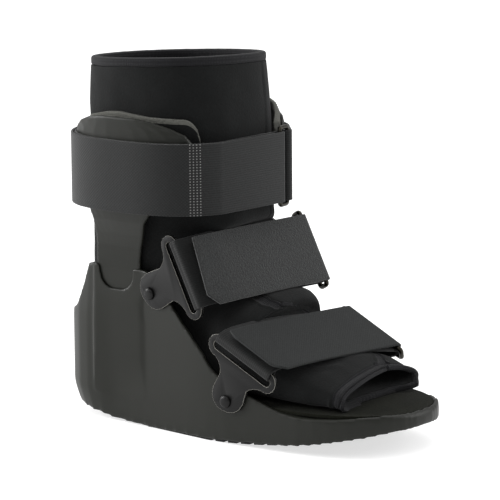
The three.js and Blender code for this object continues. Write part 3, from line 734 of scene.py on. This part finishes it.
class BOOT_OT_uprights(Operator):
    """Build the two uprights and their foam pads"""

    bl_idname = "boot.uprights"
    bl_label = "Uprights"

    def execute(self, context):
        for side in ("outer", "inner"):
            node = f"upright_{side}"
            moulded_copy(f"upright_moulding_{side}", node, 0.9, 6, nylon_moulding)
        make_outer_pad()
        pad = moulded_copy("foam_pad_inner", "upright_pad_inner", 1.0, 8, speckled_foam)
        return {"FINISHED"}


# Brackets, rivets and rings


BRACKETS = (
    "instep_bracket_outer", "instep_bracket_inner", "forefoot_bracket_outer", "forefoot_bracket_inner",
)

# Rivet centres on the base's wall and the way they face, in millimetres
RIVETS = {
    "instep_rivet_outer": ((-51.803, 53, 99), (-0.993, 0.105, -0.052)),
    "instep_rivet_inner": ((52.04, 51.24, 95.408), (0.993, 0.107, -0.052)),
    "forefoot_rivet_outer": ((-59.774, -19.7, 31.5), (-1, 0.004, -0.009)),
    "forefoot_rivet_inner": ((59.8, -30.736, 25.858), (1, 0, -0.001)),
}


def spun(profile, steps=32):
    """A closed shape spun round Z from a list of (radius, height) in millimetres."""
    bm = bmesh.new()
    verts = [bm.verts.new((radius * MM, 0, height * MM)) for radius, height in profile]
    edges = [bm.edges.new(pair) for pair in zip(verts, verts[1:])]
    bmesh.ops.spin(
        bm, geom=verts + edges, cent=(0, 0, 0), axis=ALONG_Z, angle=2 * math.pi, steps=steps, use_merge=True,
    )
    bmesh.ops.remove_doubles(bm, verts=bm.verts[:], dist=1e-6)
    bmesh.ops.recalc_face_normals(bm, faces=bm.faces[:])
    return bm


# A rivet's profile from its shank to its domed top: radius and height in millimetres
RIVET_PROFILE = [
    (0, 0), (2, 0), (2, 2.7), (4.1, 2.7), (4.4, 2.9), (4.35, 3.4), (3.9, 3.95), (3, 4.35), (2, 4.55),
    (1, 4.63), (0, 4.65),
]


class BOOT_OT_brackets(Operator):
    """Build the slotted brackets and their rivets"""

    bl_idname = "boot.brackets"
    bl_label = "Brackets"

    def execute(self, context):
        for node in BRACKETS:
            plate = node.replace("bracket", "plate")
            # The plates' bevels get a painted edge highlight: a lighter material that draws their edges as
            # bright lines
            bevelled_copy(plate, node, 0.6, acetal_moulding, acetal_painted_edge_highlight)
        for node, (place, out) in RIVETS.items():
            bm = spun(RIVET_PROFILE)
            turned = Vector(out).to_track_quat("Z", "X").to_matrix().to_4x4()
            bmesh.ops.transform(bm, matrix=Matrix.Translation(Vector(place) * MM) @ turned, verts=bm.verts[:])
            name = node.replace("rivet", "rivet_head")
            head = new_piece(name, to_mesh(bm, node), [acetal_moulding], [node])
            sharpened(head, 50)
        return {"FINISHED"}


# Straps


class StrapPlan:
    """Where a strap over the foot runs, in millimetres: across the foot and forward along its own slope."""

    def __init__(
        self, slot, forward, across, slide, bar, crown, over, ring_front, ring_rear, drift, clip, far_bar,
    ):
        self.slot = Vector(slot)
        self.forward = Vector(forward)
        self.across = Vector(across)
        self.slide = slide
        self.bar = bar
        self.crown = crown
        self.ring_front = ring_front
        self.ring_rear = ring_rear
        self.over = over
        self.drift = drift
        self.clip = clip
        self.far_bar = far_bar

    def spot(self, x, ahead, sideways):
        """The place in metres of a point on the strap's plan, at a distance across the webbing."""
        origin = Vector((0, self.slot.y, self.slot.z))
        point = origin + ALONG_X * x + self.forward * ahead + ALONG_X.cross(self.forward) * sideways
        return (point + self.across * self.slide * (x - self.slot.x)) * MM


# One layer of webbing over another, the turns round a bar and a ring, and how far ahead of the slot's
# middle its bar lies, in millimetres
LAYER = 2.3
LOOP_RADIUS = 2.75
FOLD_RADIUS = 2.65
BAR_AHEAD = 4.6

# The first run goes over the crown points, the top run back over the points of over, to its free end.
# Both drift towards the toes on the way to the ring.
INSTEP = StrapPlan(
    slot=(-55.911, 21.787, 114.294), forward=(0, -0.898, 0.44), across=(0, 0.44, 0.898),
    slide=-0.0357, bar=-58.011,
    crown=[(-61, 9.6), (-57.4, 12.4), (-50, 16.4), (-38, 20.8), (-18, 24.6), (0, 26), (25, 26.8), (44, 26.6)],
    over=[(48, 30.4), (25, 29.5), (0, 28.9), (-18, 28.1), (-38, 26.6), (-50, 24.8), (-65.5, 21.6)],
    ring_front=(62, 28.2), ring_rear=(65.5, 19.5), drift=3, clip=(9.5, 0.17, 7, 1), far_bar=(57.81, 4.59),
)
FOREFOOT = StrapPlan(
    slot=(-60.081, -34.038, 59.546), forward=(0, -0.455, 0.89), across=(0, 0.89, 0.455),
    slide=-0.1033, bar=-61.581,
    crown=[(-64, 9.2), (-60, 12), (-52, 14.8), (-36, 17.4), (-18, 19), (0, 19.5), (25, 19.5), (40, 19)],
    over=[(44, 22.6), (25, 22.2), (0, 21.9), (-18, 21.6), (-36, 20.9), (-53, 19.8), (-69, 18.2)],
    ring_front=(57.5, 20), ring_rear=(63, 12.5), drift=8.6, clip=(9, 0.14, 3, 0.14), far_bar=(61.23, 4.6),
)


# Rows of faces across a strap, and the length at its free end that its clipped corners may draw back
WEB_ROWS = 24
END_REACH = 14


def ribbon(name, path, spot, width, make, replaced, clip=None, under=None):
    """A strap laid along a path, with its free end's corners clipped.

    under gives a second material and the count of columns from the start of the path that have it.
    """
    lengths = run_lengths(path)
    columns = len(path) - 1
    bm, place = woven_grid(columns, WEB_ROWS)

    def shortened(column, row):
        """The path's place for a column, drawn back near the free end's clipped corners."""
        back = clip(row / WEB_ROWS) if clip else 0
        start = lengths[-1] - END_REACH
        if lengths[column] <= start:
            return path[column], lengths[column]
        share = (lengths[column] - start) / END_REACH
        wanted = start + share * (END_REACH - back)
        for i in range(1, columns + 1):
            if lengths[i] >= wanted:
                t = (wanted - lengths[i - 1]) / max(lengths[i] - lengths[i - 1], 1e-9)
                return tuple(Vector(path[i - 1]).lerp(Vector(path[i]), t)), wanted
        return path[-1], lengths[-1]

    def laid(column, row):
        point, _ = shortened(column, row)
        return spot(point[0], point[1], (row / WEB_ROWS - 0.5) * width + point[2])

    def flat(column, row):
        _, along = shortened(column, row)
        return along * MM, row / WEB_ROWS * width * MM

    lay_grid(bm, place, laid, flat)
    if under:
        for face in bm.faces:
            face.material_index = int(min(place[v][0] for v in face.verts) < under[1])
    bmesh.ops.recalc_face_normals(bm, faces=bm.faces[:])
    piece = new_piece(name, to_mesh(bm, name), [make, under[0]] if under else [make], replaced)
    thickness = sizes().web_thickness * 0.92
    finished(
        piece,
        ("SOLIDIFY", {"thickness": thickness, "offset": 0, "use_even_offset": True}),
        edge_bevel(0.45, 2, 50),
    )
    return sharpened(piece, 60)


def with_drift(path, start, end):
    """Adds the drift towards the toes to a path, growing evenly between two amounts."""
    lengths = run_lengths(path)
    return [(*point, start + (end - start) * run / lengths[-1]) for point, run in zip(path, lengths)]


def oval_turn(centre, half_x, half_y, start, end, steps=12):
    return [
        (centre[0] + half_x * (x - centre[0]), centre[1] + half_y * (y - centre[1]))
        for x, y in arc(centre, 1, start, end, steps)
    ]


def foot_strap_path(plan):
    middle = plan.bar
    bar = BAR_AHEAD + 0.5
    tail = [(middle + 2.4, bar + 8), (middle + 2.4, bar + 4)]
    loop = oval_turn((middle, bar), 2.4, 1.8, 0, -180)
    front = plan.ring_front
    rise = through([(middle - 2.4, bar + 1.5), *plan.crown, (front[0], front[1] - FOLD_RADIUS)], 6)
    fold = arc(front, FOLD_RADIUS, -90, 90)[1:]
    back = through([fold[-1], *plan.over], 6)[1:]
    lower = [*with_drift([*tail, *loop], 0, 0), *with_drift(rise, 0, plan.drift)]
    return [*lower, *with_drift([*fold, *back], plan.drift, plan.drift)], len(lower)


def corner_clips(front_depth, front_share, rear_depth, rear_share):
    """How far a strap's end is drawn back across its width, for its two clipped corners."""
    def back(across):
        front = front_depth * max(0, 1 - (1 - across) / front_share)
        return front + rear_depth * max(0, 1 - across / rear_share)
    return back


def ring_loop_path(plan):
    """A closed loop of webbing round the far bracket's bar and the ring's rear bar."""
    bar = plan.far_bar
    ring = plan.ring_rear
    lean = math.degrees(math.atan2(ring[1] - bar[1], ring[0] - bar[0]))
    round_bar = arc(bar, LOOP_RADIUS, lean + 90, lean + 270, 10)
    round_ring = arc(ring, 2.45, lean - 90, lean + 90, 10)
    return [
        *with_drift(round_bar, 0, 0), *with_drift(round_ring, plan.drift, plan.drift), (*round_bar[0], 0),
    ]


# Each strap over the foot: its plan, its webbing, and how much narrower than the others it is
FOOT_STRAPS = {"instep": (INSTEP, pile_webbing, 0), "forefoot": (FOREFOOT, woven_webbing, 0.6)}


class BOOT_OT_foot_straps(Operator):
    """Lay the two straps over the foot and the loops that hold their rings"""

    bl_idname = "boot.foot_straps"
    bl_label = "Foot straps"

    def execute(self, context):
        width = sizes().web_width / MM
        for name, (plan, make, narrow) in FOOT_STRAPS.items():
            path, folded = foot_strap_path(plan)
            ribbon(
                f"{name}_webbing", path, plan.spot, width - narrow, make,
                [f"{name}_strap"], corner_clips(*plan.clip), under=(ribbed_webbing, folded),
            )
            ribbon(
                f"{name}_loop", ring_loop_path(plan), plan.spot, width - 1, ribbed_webbing,
                [f"{name}_ring_loop"],
            )
        return {"FINISHED"}


# The calf strap's girth in plan, as the frame has it, in millimetres
CALF_CENTRE_Y = 64.8
CALF_HALF = (70.7, 68.5)
CALF_BACK_HALF = 66
CALF_SQUARE = 2.7
CALF_STRAP_Z = 185
CALF_RING_NEAR = (23.5, -5.4)
CALF_RING_FAR = (34, -4.2)
CALF_FOLD = 2.85
IN_LAYER = 1.45
OUT_LAYER = IN_LAYER + LAYER


def girth(outset, start, end, steps):
    points = []
    for i in range(steps + 1):
        angle = math.radians(start + (end - start) * i / steps)
        power = 2 / CALF_SQUARE
        across = math.copysign(abs(math.cos(angle)) ** power, math.cos(angle))
        along = math.copysign(abs(math.sin(angle)) ** power, math.sin(angle))
        half = CALF_HALF[1] if along < 0 else CALF_BACK_HALF
        points.append(((CALF_HALF[0] + outset) * across, CALF_CENTRE_Y + (half + outset) * along))
    return points


def calf_run():
    """The calf strap's path, and how far along it the woven length starts, in millimetres."""
    inner_far = girth(IN_LAYER, -52, 90, 40)
    pull = math.degrees(math.atan2(inner_far[0][1] - CALF_RING_FAR[1], inner_far[0][0] - CALF_RING_FAR[0]))
    start = arc(CALF_RING_FAR, CALF_FOLD, pull + 90, pull + 270)
    lead = (start[0][0] + 9 * math.cos(math.radians(pull)), start[0][1] + 9 * math.sin(math.radians(pull)))
    inner_near = girth(IN_LAYER, 90, 243, 44)[1:]
    fold = arc(CALF_RING_NEAR, CALF_FOLD, 90, -90)
    smooth = girth(OUT_LAYER, 244, 230, 6)
    woven = girth(OUT_LAYER, 230, 100, 48)[1:]
    before = [lead, *start, *inner_far, *inner_near, *fold, *smooth]
    path = with_drift([*before, *woven], 0, 0)
    return path, run_lengths(path)[len(before) - 1]


def calf_spot(x, y, sideways):
    return Vector((x, y, CALF_STRAP_Z + sideways)) * MM


class BOOT_OT_calf_strap(Operator):
    """Lay the calf strap: once round, through its ring and back over itself"""

    bl_idname = "boot.calf_strap"
    bl_label = "Calf strap"

    def execute(self, context):
        width = sizes().web_width / MM
        path, _ = calf_run()
        ribbon("calf_webbing", path, calf_spot, width, calf_webbing, ["calf_strap"])
        return {"FINISHED"}


def wire(name, corners, radius, bend, replaced):
    """A closed wire bent round corners, welded into one round tube."""
    rounded = []
    count = len(corners)
    for i, corner in enumerate(corners):
        before = (corners[i - 1] - corner).normalized()
        after = (corners[(i + 1) % count] - corner).normalized()
        first = corner + before * bend
        last = corner + after * bend
        for step in range(7):
            t = step / 6
            rounded.append(first.lerp(corner, t).lerp(corner.lerp(last, t), t))
    curve = bpy.data.curves.new(name, "CURVE")
    curve.dimensions = "3D"
    curve.bevel_depth = radius
    curve.bevel_resolution = 6
    spline = curve.splines.new("POLY")
    spline.points.add(len(rounded) - 1)
    for point, spot in zip(spline.points, rounded):
        point.co = (*spot, 1)
    spline.use_cyclic_u = True
    drawn = bpy.data.objects.new(name + "_line", curve)
    context = bpy.context
    context.scene.collection.objects.link(drawn)
    mesh = bpy.data.meshes.new_from_object(drawn.evaluated_get(context.evaluated_depsgraph_get()))
    bpy.data.objects.remove(drawn)
    bpy.data.curves.remove(curve)
    mesh.name = name
    mesh.materials.clear()
    return new_piece(name, mesh, [blackened_steel], replaced)


class BOOT_OT_rings(Operator):
    """Bend the wire rings that the straps turn round"""

    bl_idname = "boot.rings"
    bl_label = "Rings"

    def execute(self, context):
        radius = sizes().ring_radius
        half = sizes().web_width / MM / 2 + 0.9 + radius / MM
        for name, plan in (("instep", INSTEP), ("forefoot", FOREFOOT)):
            ends = (-half + plan.drift, half + plan.drift)
            corners = [
                plan.spot(*plan.ring_front, ends[0]), plan.spot(*plan.ring_rear, ends[0]),
                plan.spot(*plan.ring_rear, ends[1]), plan.spot(*plan.ring_front, ends[1]),
            ]
            wire(f"{name}_wire", corners, radius, 2.6 * MM, [f"{name}_ring"])
        half = sizes().web_width / MM / 2 + 2.5
        corners = [
            calf_spot(*CALF_RING_NEAR, -half), calf_spot(*CALF_RING_FAR, -half),
            calf_spot(*CALF_RING_FAR, half), calf_spot(*CALF_RING_NEAR, half),
        ]
        wire("calf_wire", corners, 1.6 * MM, 2.4 * MM, ["calf_ring"])
        return {"FINISHED"}


# The liner. Each row is a section: back and front places along the boot and heights, half the width,
# lean of the crown to the inner side, squareness of the back and the front, and the rise of the outer
# side, in millimetres.

LINER_ROWS = [
    (-99, 30.5, -99, 52, 47.5, 0.32, 4, 1.7, 0),
    (-88, 30.5, -86, 58, 48.5, 0.28, 4, 1.8, 0),
    (-76, 30.5, -73, 60.5, 49.4, 0.2, 4, 1.9, 0),
    (-56, 30.5, -54.4, 67.5, 49.7, 0.06, 4, 2.1, 0),
    (-36, 30.5, -37.5, 76, 48.8, 0, 4, 2.1, 0),
    (-20, 30.5, -26, 86, 48.8, 0.02, 4, 2.1, 0),
    (0, 30.5, -30, 92.5, 48.8, 0.03, 4, 2.1, 0),
    (22, 30.5, -24, 97.5, 47, 0.02, 4, 2.1, 0),
    (45, 30.5, -11, 100.3, 43.9, 0, 4, 2.1, 0),
    (70, 30.5, -7.9, 106.6, 42.7, 0, 3.6, 2.2, 0),
    (96, 31.5, -0.4, 121.9, 42.1, 0, 3.2, 2.2, 0),
    (119, 39, 6.2, 135.3, 41.8, 0, 2.8, 2.2, 0),
    (132, 54, 7, 145.2, 42, 0, 2.6, 2.6, 0),
    (135, 76, 0, 150.5, 43.4, 0, 2.5, 3, 0),
    (133, 100, -1, 157, 45.2, 0, 2.5, 3, 0),
    (130, 130, 0, 167, 49.6, 0, 2.5, 2.7, 0),
    (128.5, 158, 1.6, 180, 54, 0, 2.5, 2.4, 0),
    (129, 190, 1.6, 198, 57.4, 0, 2.4, 2.4, 0),
    (129, 214, 2, 216, 58.8, 0, 2.3, 2.4, 0),
    (128.5, 235, 3, 238.5, 59.6, 0, 2.25, 2.3, 1.5),
    (129, 253.5, 5, 261.4, 59.6, 0, 2.1, 2.2, 3),
]
FLAP_UNDER = 266

# How far across the boot the outer panel's front edge lies, by place along the liner
FLAP_EDGE = [
    (-0.5, 27), (0, 28), (1, 35), (2, 40), (3, 42), (4, 38), (4.7, 30), (5.5, 8), (6, -8), (7, -13),
    (8, -9), (9, -1), (10, 9), (11, 15), (12, 19), (13, 20), (20, 19),
]

# How far the inner side of the instep swells out beyond its section, by place along the liner
FAR_SWELL = [
    (0, 0), (3, 0), (5, 0.5), (6, 1.5), (7, 4), (8, 8), (9, 10), (10.5, 7), (13, 2), (15, 0), (20, 0),
]

# How much squarer the section is on the inner side than on the outer, by place along the liner
FAR_SQUARE = [
    (0, 0), (3, 0), (5, 0.3), (6, 0.7), (7, 1.5), (8, 2.4), (9, 2.4), (10.5, 1.2), (13, 0.4), (15, 0),
    (20, 0),
]

# How far the toe opening's edge is drawn back from the toes, by the angle round it
TOE_REACH = [
    (0, -2), (20, 0), (45, 3), (90, 5), (135, 1), (180, -1), (225, 0), (250, 5), (270, 6), (298, 4),
    (318, -3),
    (335, -6), (350, -4), (360, -2),
]


def liner_row(place):
    """The section at a place from 0 at the toe to 20 at the rim."""
    low = min(int(place), len(LINER_ROWS) - 2)
    t = place - low
    rows = [LINER_ROWS[min(max(low + i, 0), len(LINER_ROWS) - 1)] for i in (-1, 0, 1, 2)]
    return [
        0.5 * (2 * b + (c - a) * t + (2 * a - 5 * b + 4 * c - d) * t * t + (3 * b - a - 3 * c + d) * t ** 3)
        for a, b, c, d in zip(*rows)
    ]


def liner_spot(place, degrees, inset):
    """A point of the liner's skin in millimetres: place along it, angle round it, and depth into it."""
    back_y, back_z, front_y, front_z, wide, lean, back_square, front_square, roll = liner_row(place)
    back = Vector((0, back_y, back_z))
    front = Vector((0, front_y, front_z))
    up = front - back
    length = up.length
    up.normalize()
    angle = math.radians(degrees)
    c = math.cos(angle)
    s = math.sin(angle)
    square = back_square if s < 0 else front_square
    if s > 0 and c > 0:
        square += between(FAR_SQUARE, place)
    power = 2 / square
    across = math.copysign(abs(c) ** power, c)
    rise = 0.5 + 0.5 * math.copysign(abs(s) ** power, s)
    point = back + up * (inset + (length - 2 * inset) * rise)
    point.x = (wide - inset) * (across + lean * rise * (1 - 0.35 * abs(across)))
    point.z -= roll * across
    if across > 0:
        point.x += between(FAR_SWELL, place) * across * smoothed(rise, 0.5, 0.8)
    if place < 3:
        point.y += between(TOE_REACH, degrees % 360) * (1 - max(place, 0) / 3) ** 2
    return point


def wall_at(place):
    """The padded wall thins towards the toes."""
    wall = sizes().liner_wall / MM
    return 3.4 + (wall - 3.4) * smoothed(place, 0, 2.5)


edge_cache = {}


def flap_top(place):
    """The angle round the liner at which the outer panel's front edge lies."""
    if place not in edge_cache:
        wanted = between(FLAP_EDGE, place)
        low, high = 25.0, 140.0
        for _ in range(16):
            middle = (low + high) / 2
            if liner_spot(max(place, 0), middle, 0).x > wanted:
                low = middle
            else:
                high = middle
        edge_cache[place] = low
    return edge_cache[place]


def bump_at(point, centre, reach):
    """A round hump from 1 at its centre to 0 beyond its reach, which may differ in each direction."""
    distance = sum(((p - c) / r) ** 2 for p, c, r in zip(point, centre, reach))
    return math.exp(-distance)


def crease(point, start, end, width):
    """A soft groove or ridge along a line: 1 on the line, fading over its width."""
    start = Vector(start)
    along = Vector(end) - start
    share = min(max((point - start).dot(along) / along.length_squared, 0), 1)
    gap = (point - start - along * share).length
    fade = min(1, 4 * min(share + 0.08, 1.08 - share))
    return math.exp(-(gap / width) ** 2) * max(fade, 0)


def softness(point):
    """How far the padded cloth stands out of or sinks into its plain shape, in millimetres."""
    out = 0.5 * noise.noise(point / 26) + 0.22 * noise.noise(point / 9)
    out += 1.2 * bump_at(point, (-10, -62, 62), (60, 12, 14))
    out -= 1.1 * crease(point, (-30, -70, 62), (20, -84, 60), 3.2)
    out -= 0.9 * crease(point, (-44, -62, 50), (-8, -88, 60), 2.6)
    out -= 0.9 * crease(point, (-40, 2, 84), (10, -16, 92), 4)
    out += 0.9 * crease(point, (-44, -6, 76), (6, -22, 86), 4)
    out -= 0.8 * crease(point, (-46, 20, 128), (-8, 4, 148), 5)
    out += 0.7 * bump_at(point, (-50, 40, 246), (40, 40, 12))
    return out


def column_angles(start, end, count):
    return [start + (end - start) * i / count for i in range(count + 1)]


def even_places(start, end, step_mm):
    """Places along the liner whose crown and side are about evenly spaced."""
    fine = [start + (end - start) * i / 400 for i in range(401)]
    run = [0.0]
    for a, b in zip(fine, fine[1:]):
        side = (liner_spot(b, 180, 0) - liner_spot(a, 180, 0)).length
        crown = (liner_spot(b, 90, 0) - liner_spot(a, 90, 0)).length
        run.append(run[-1] + max(side, 0.6 * crown))
    count = max(int(run[-1] / step_mm), 2)
    places = []
    i = 0
    for k in range(count + 1):
        wanted = run[-1] * k / count
        while run[i + 1] < wanted and i < len(run) - 2:
            i += 1
        t = (wanted - run[i]) / max(run[i + 1] - run[i], 1e-9)
        places.append(fine[i] + t * (fine[i + 1] - fine[i]))
    return places


def smoothed(value, low, high):
    t = min(max((value - low) / (high - low), 0), 1)
    return t * t * (3 - 2 * t)


def under_flap(place, degrees):
    """1 where the outer panel covers the liner, 0 where it doesn't."""
    turned = degrees % 360
    top = flap_top(place)
    return smoothed(turned, top - 3, top + 3) * (1 - smoothed(turned, FLAP_UNDER - 2, FLAP_UNDER + 4))


def make_liner():
    places = even_places(0, len(LINER_ROWS) - 1, 2.6)
    around = 132
    thin = sizes().flap_thickness / MM + 0.35
    loop = [(p, 0) for p in places] + [(p, 1) for p in reversed(places)]
    columns = len(loop)
    bm, place = woven_grid(columns, around)

    def laid(column, row):
        where, inner = loop[column % columns]
        degrees = 360 * row / around
        spot = liner_spot(where, degrees, wall_at(where) if inner else thin * under_flap(where, degrees))
        if not inner:
            spot += liner_normal(where, degrees) * 0.7 * softness(spot)
        return spot * MM

    def flat(column, row):
        return column * 2.6 * MM, row * 2.4 * MM

    lay_grid(bm, place, laid, flat)
    bmesh.ops.remove_doubles(bm, verts=bm.verts[:], dist=5e-6)
    bmesh.ops.recalc_face_normals(bm, faces=bm.faces[:])
    liner = new_piece("liner_cloth", to_mesh(bm, "liner_cloth"), [loop_cloth], ["liner"])


def liner_normal(place, degrees):
    """The way the liner's skin faces."""
    last = len(LINER_ROWS) - 1
    ahead = liner_spot(min(place + 0.1, last), degrees, 0) - liner_spot(max(place - 0.1, 0), degrees, 0)
    around = liner_spot(place, degrees + 2, 0) - liner_spot(place, degrees - 2, 0)
    return around.cross(ahead).normalized()


def make_flap():
    """The outer panel: its edge runs from the toe over the foot and up the front of the leg, bound from the
    toe over the foot and plain up the leg.
    """
    last = len(LINER_ROWS) - 1
    step = 1.7
    places = [-0.42, -0.36, -0.3, -0.22, -0.14, -0.06, *even_places(0, last, step)]
    edge_columns = 9
    rest = 96

    def turned(i, j):
        top = flap_top(places[i])
        if j < edge_columns:
            return top + 0.9 * j
        start = top + 0.9 * (edge_columns - 1)
        return start + (FLAP_UNDER - start) * (j - edge_columns + 1) / rest

    bind = sizes().binding_width / MM + 2.2
    thick = sizes().flap_thickness / MM
    corner = 13
    rows = len(places) - 1
    columns = edge_columns - 1 + rest
    bm, place = woven_grid(rows, columns)
    grid = {}

    def plain(i, j):
        where = places[i]
        if where >= 0:
            return liner_spot(where, turned(i, j), 0)
        start = liner_spot(0, turned(i, j), 0)
        return start + Vector((0, where * 15, where * 3))

    side = {}
    for j in range(columns + 1):
        total = 0
        for i in range(rows + 1):
            if i:
                total += (plain(i, j) - plain(i - 1, j)).length
            side[i, j] = total
    top = {}
    for i in range(rows + 1):
        total = 0
        for j in range(columns + 1):
            if j:
                total += (plain(i, j) - plain(i, j - 1)).length
            top[i, j] = total

    def edge_gap(i, j):
        toe, front = side[i, j], top[i, j]
        if toe < corner and front < corner:
            return corner - math.hypot(corner - toe, corner - front)
        return min(toe, front)

    for i in range(rows + 1):
        for j in range(columns + 1):
            where = max(places[i], 0)
            out = liner_normal(where, turned(i, j))
            spot = plain(i, j)
            gap = edge_gap(i, j)
            if gap < 0:
                pull = Vector((corner - side[i, j], corner - top[i, j]))
                pull = pull * (1 - corner / pull.length)
                toeward = (plain(min(i + 1, rows), j) - plain(max(i - 1, 0), j)).normalized()
                around = (plain(i, min(j + 1, columns)) - plain(i, max(j - 1, 0))).normalized()
                spot = spot + toeward * pull.x + around * pull.y
                gap = 0
            bound = 1 - smoothed(where, 8, 11)
            swell = 0.9 * bound * math.sqrt(max(0, 1 - (2 * gap / bind - 1) ** 2)) if gap < bind else 0
            groove = -0.8 * bound * math.exp(-((gap - bind - 0.6) / 0.9) ** 2)
            lift = (softness(spot) + swell + groove) if gap > 0.01 else -0.4
            grid[i, j] = (spot + out * (lift - 0.15), gap)

    lay_grid(
        bm, place, lambda i, j: grid[i, j][0] * MM,
        lambda i, j: (side[i, j] * MM, top[i, j] * MM),
    )
    for face in bm.faces:
        gap = sum(grid[place[v]][1] for v in face.verts) / len(face.verts)
        low = places[min(place[v][0] for v in face.verts)] < 10
        face.material_index = 1 if gap < bind and low else 0
    bmesh.ops.remove_doubles(bm, verts=bm.verts[:], dist=2e-5)
    bmesh.ops.recalc_face_normals(bm, faces=bm.faces[:])
    flap = new_piece("liner_flap", to_mesh(bm, "liner_flap"), [loop_cloth, knit_binding])
    finished(
        flap,
        ("SOLIDIFY", {"thickness": thick * MM, "offset": -1, "use_even_offset": False}),
        edge_bevel(0.7, 3, 50),
    )


def make_edge_binding(name, place, direction, length, proud, replaced):
    """A rounded band of binding round one of the liner's openings."""
    wall = wall_at(place)
    around = 120
    profile = []
    for i in range(20):
        angle = 2 * math.pi * i / 20
        up = math.sin(angle)
        profile.append((
            math.copysign(abs(math.cos(angle)) ** 0.6, math.cos(angle)),
            0.5 + 0.5 * math.copysign(abs(up) ** 0.5, up),
        ))
    bm, grid_place = woven_grid(around, len(profile))

    def laid(column, row):
        degrees = 360 * (column % around) / around
        side, up = profile[row % len(profile)]
        centre = liner_spot(place, degrees, wall / 2)
        out = liner_normal(place, degrees)
        out = (out - direction * out.dot(direction)).normalized()
        lumpy = 0.12 * noise.noise(centre / 5)
        return (centre + out * side * (wall / 2 + proud + lumpy) + direction * (length * up + lumpy)) * MM

    def flat(column, row):
        return column * 3.3 * MM, row * 1.1 * MM

    lay_grid(bm, grid_place, laid, flat)
    bmesh.ops.remove_doubles(bm, verts=bm.verts[:], dist=5e-6)
    bmesh.ops.recalc_face_normals(bm, faces=bm.faces[:])
    return new_piece(name, to_mesh(bm, name), [knit_binding], replaced)


class BOOT_OT_liner(Operator):
    """Build the padded liner, its overlapping outer panel and the bound edges"""

    bl_idname = "boot.liner"
    bl_label = "Liner"

    def execute(self, context):
        make_liner()
        make_flap()
        make_edge_binding(
            "rim_tape", len(LINER_ROWS) - 1, ALONG_Z, 6.6, 0.3, ["rim_binding"],
        )
        make_edge_binding("toe_tape", 0, -ALONG_Y, 5, 0.3, ["toe_binding"])
        return {"FINISHED"}


class BOOT_PT_panel(Panel):
    """The boot's builders and settings in the sidebar"""

    bl_idname = "BOOT_PT_panel"
    bl_label = "Walking Boot"
    bl_space_type = "VIEW_3D"
    bl_region_type = "UI"
    bl_category = "Boot"

    def draw(self, context):
        for group in (context.scene.boot_sizes, context.scene.boot_colours):
            for name in group.bl_rna.properties.keys():
                if name not in ("rna_type", "name"):
                    self.layout.prop(group, name)
        for operator in OPERATORS:
            self.layout.operator(operator.bl_idname)


OPERATORS = (
    BOOT_OT_stage, BOOT_OT_base, BOOT_OT_uprights, BOOT_OT_brackets, BOOT_OT_rings, BOOT_OT_foot_straps,
    BOOT_OT_calf_strap, BOOT_OT_liner,
)
CLASSES = (BootSizes, BootColours, *OPERATORS, BOOT_PT_panel)


def register():
    for item in CLASSES:
        bpy.utils.register_class(item)
    bpy.types.Scene.boot_sizes = PointerProperty(type=BootSizes)
    bpy.types.Scene.boot_colours = PointerProperty(type=BootColours)


def unregister():
    del bpy.types.Scene.boot_sizes
    del bpy.types.Scene.boot_colours
    for item in reversed(CLASSES):
        bpy.utils.unregister_class(item)


def main():
    register()
    bpy.ops.boot.stage()
    bpy.ops.boot.base()
    bpy.ops.boot.uprights()
    bpy.ops.boot.brackets()
    bpy.ops.boot.rings()
    bpy.ops.boot.foot_straps()
    bpy.ops.boot.calf_strap()
    bpy.ops.boot.liner()


if __name__ == "__main__":
    main()
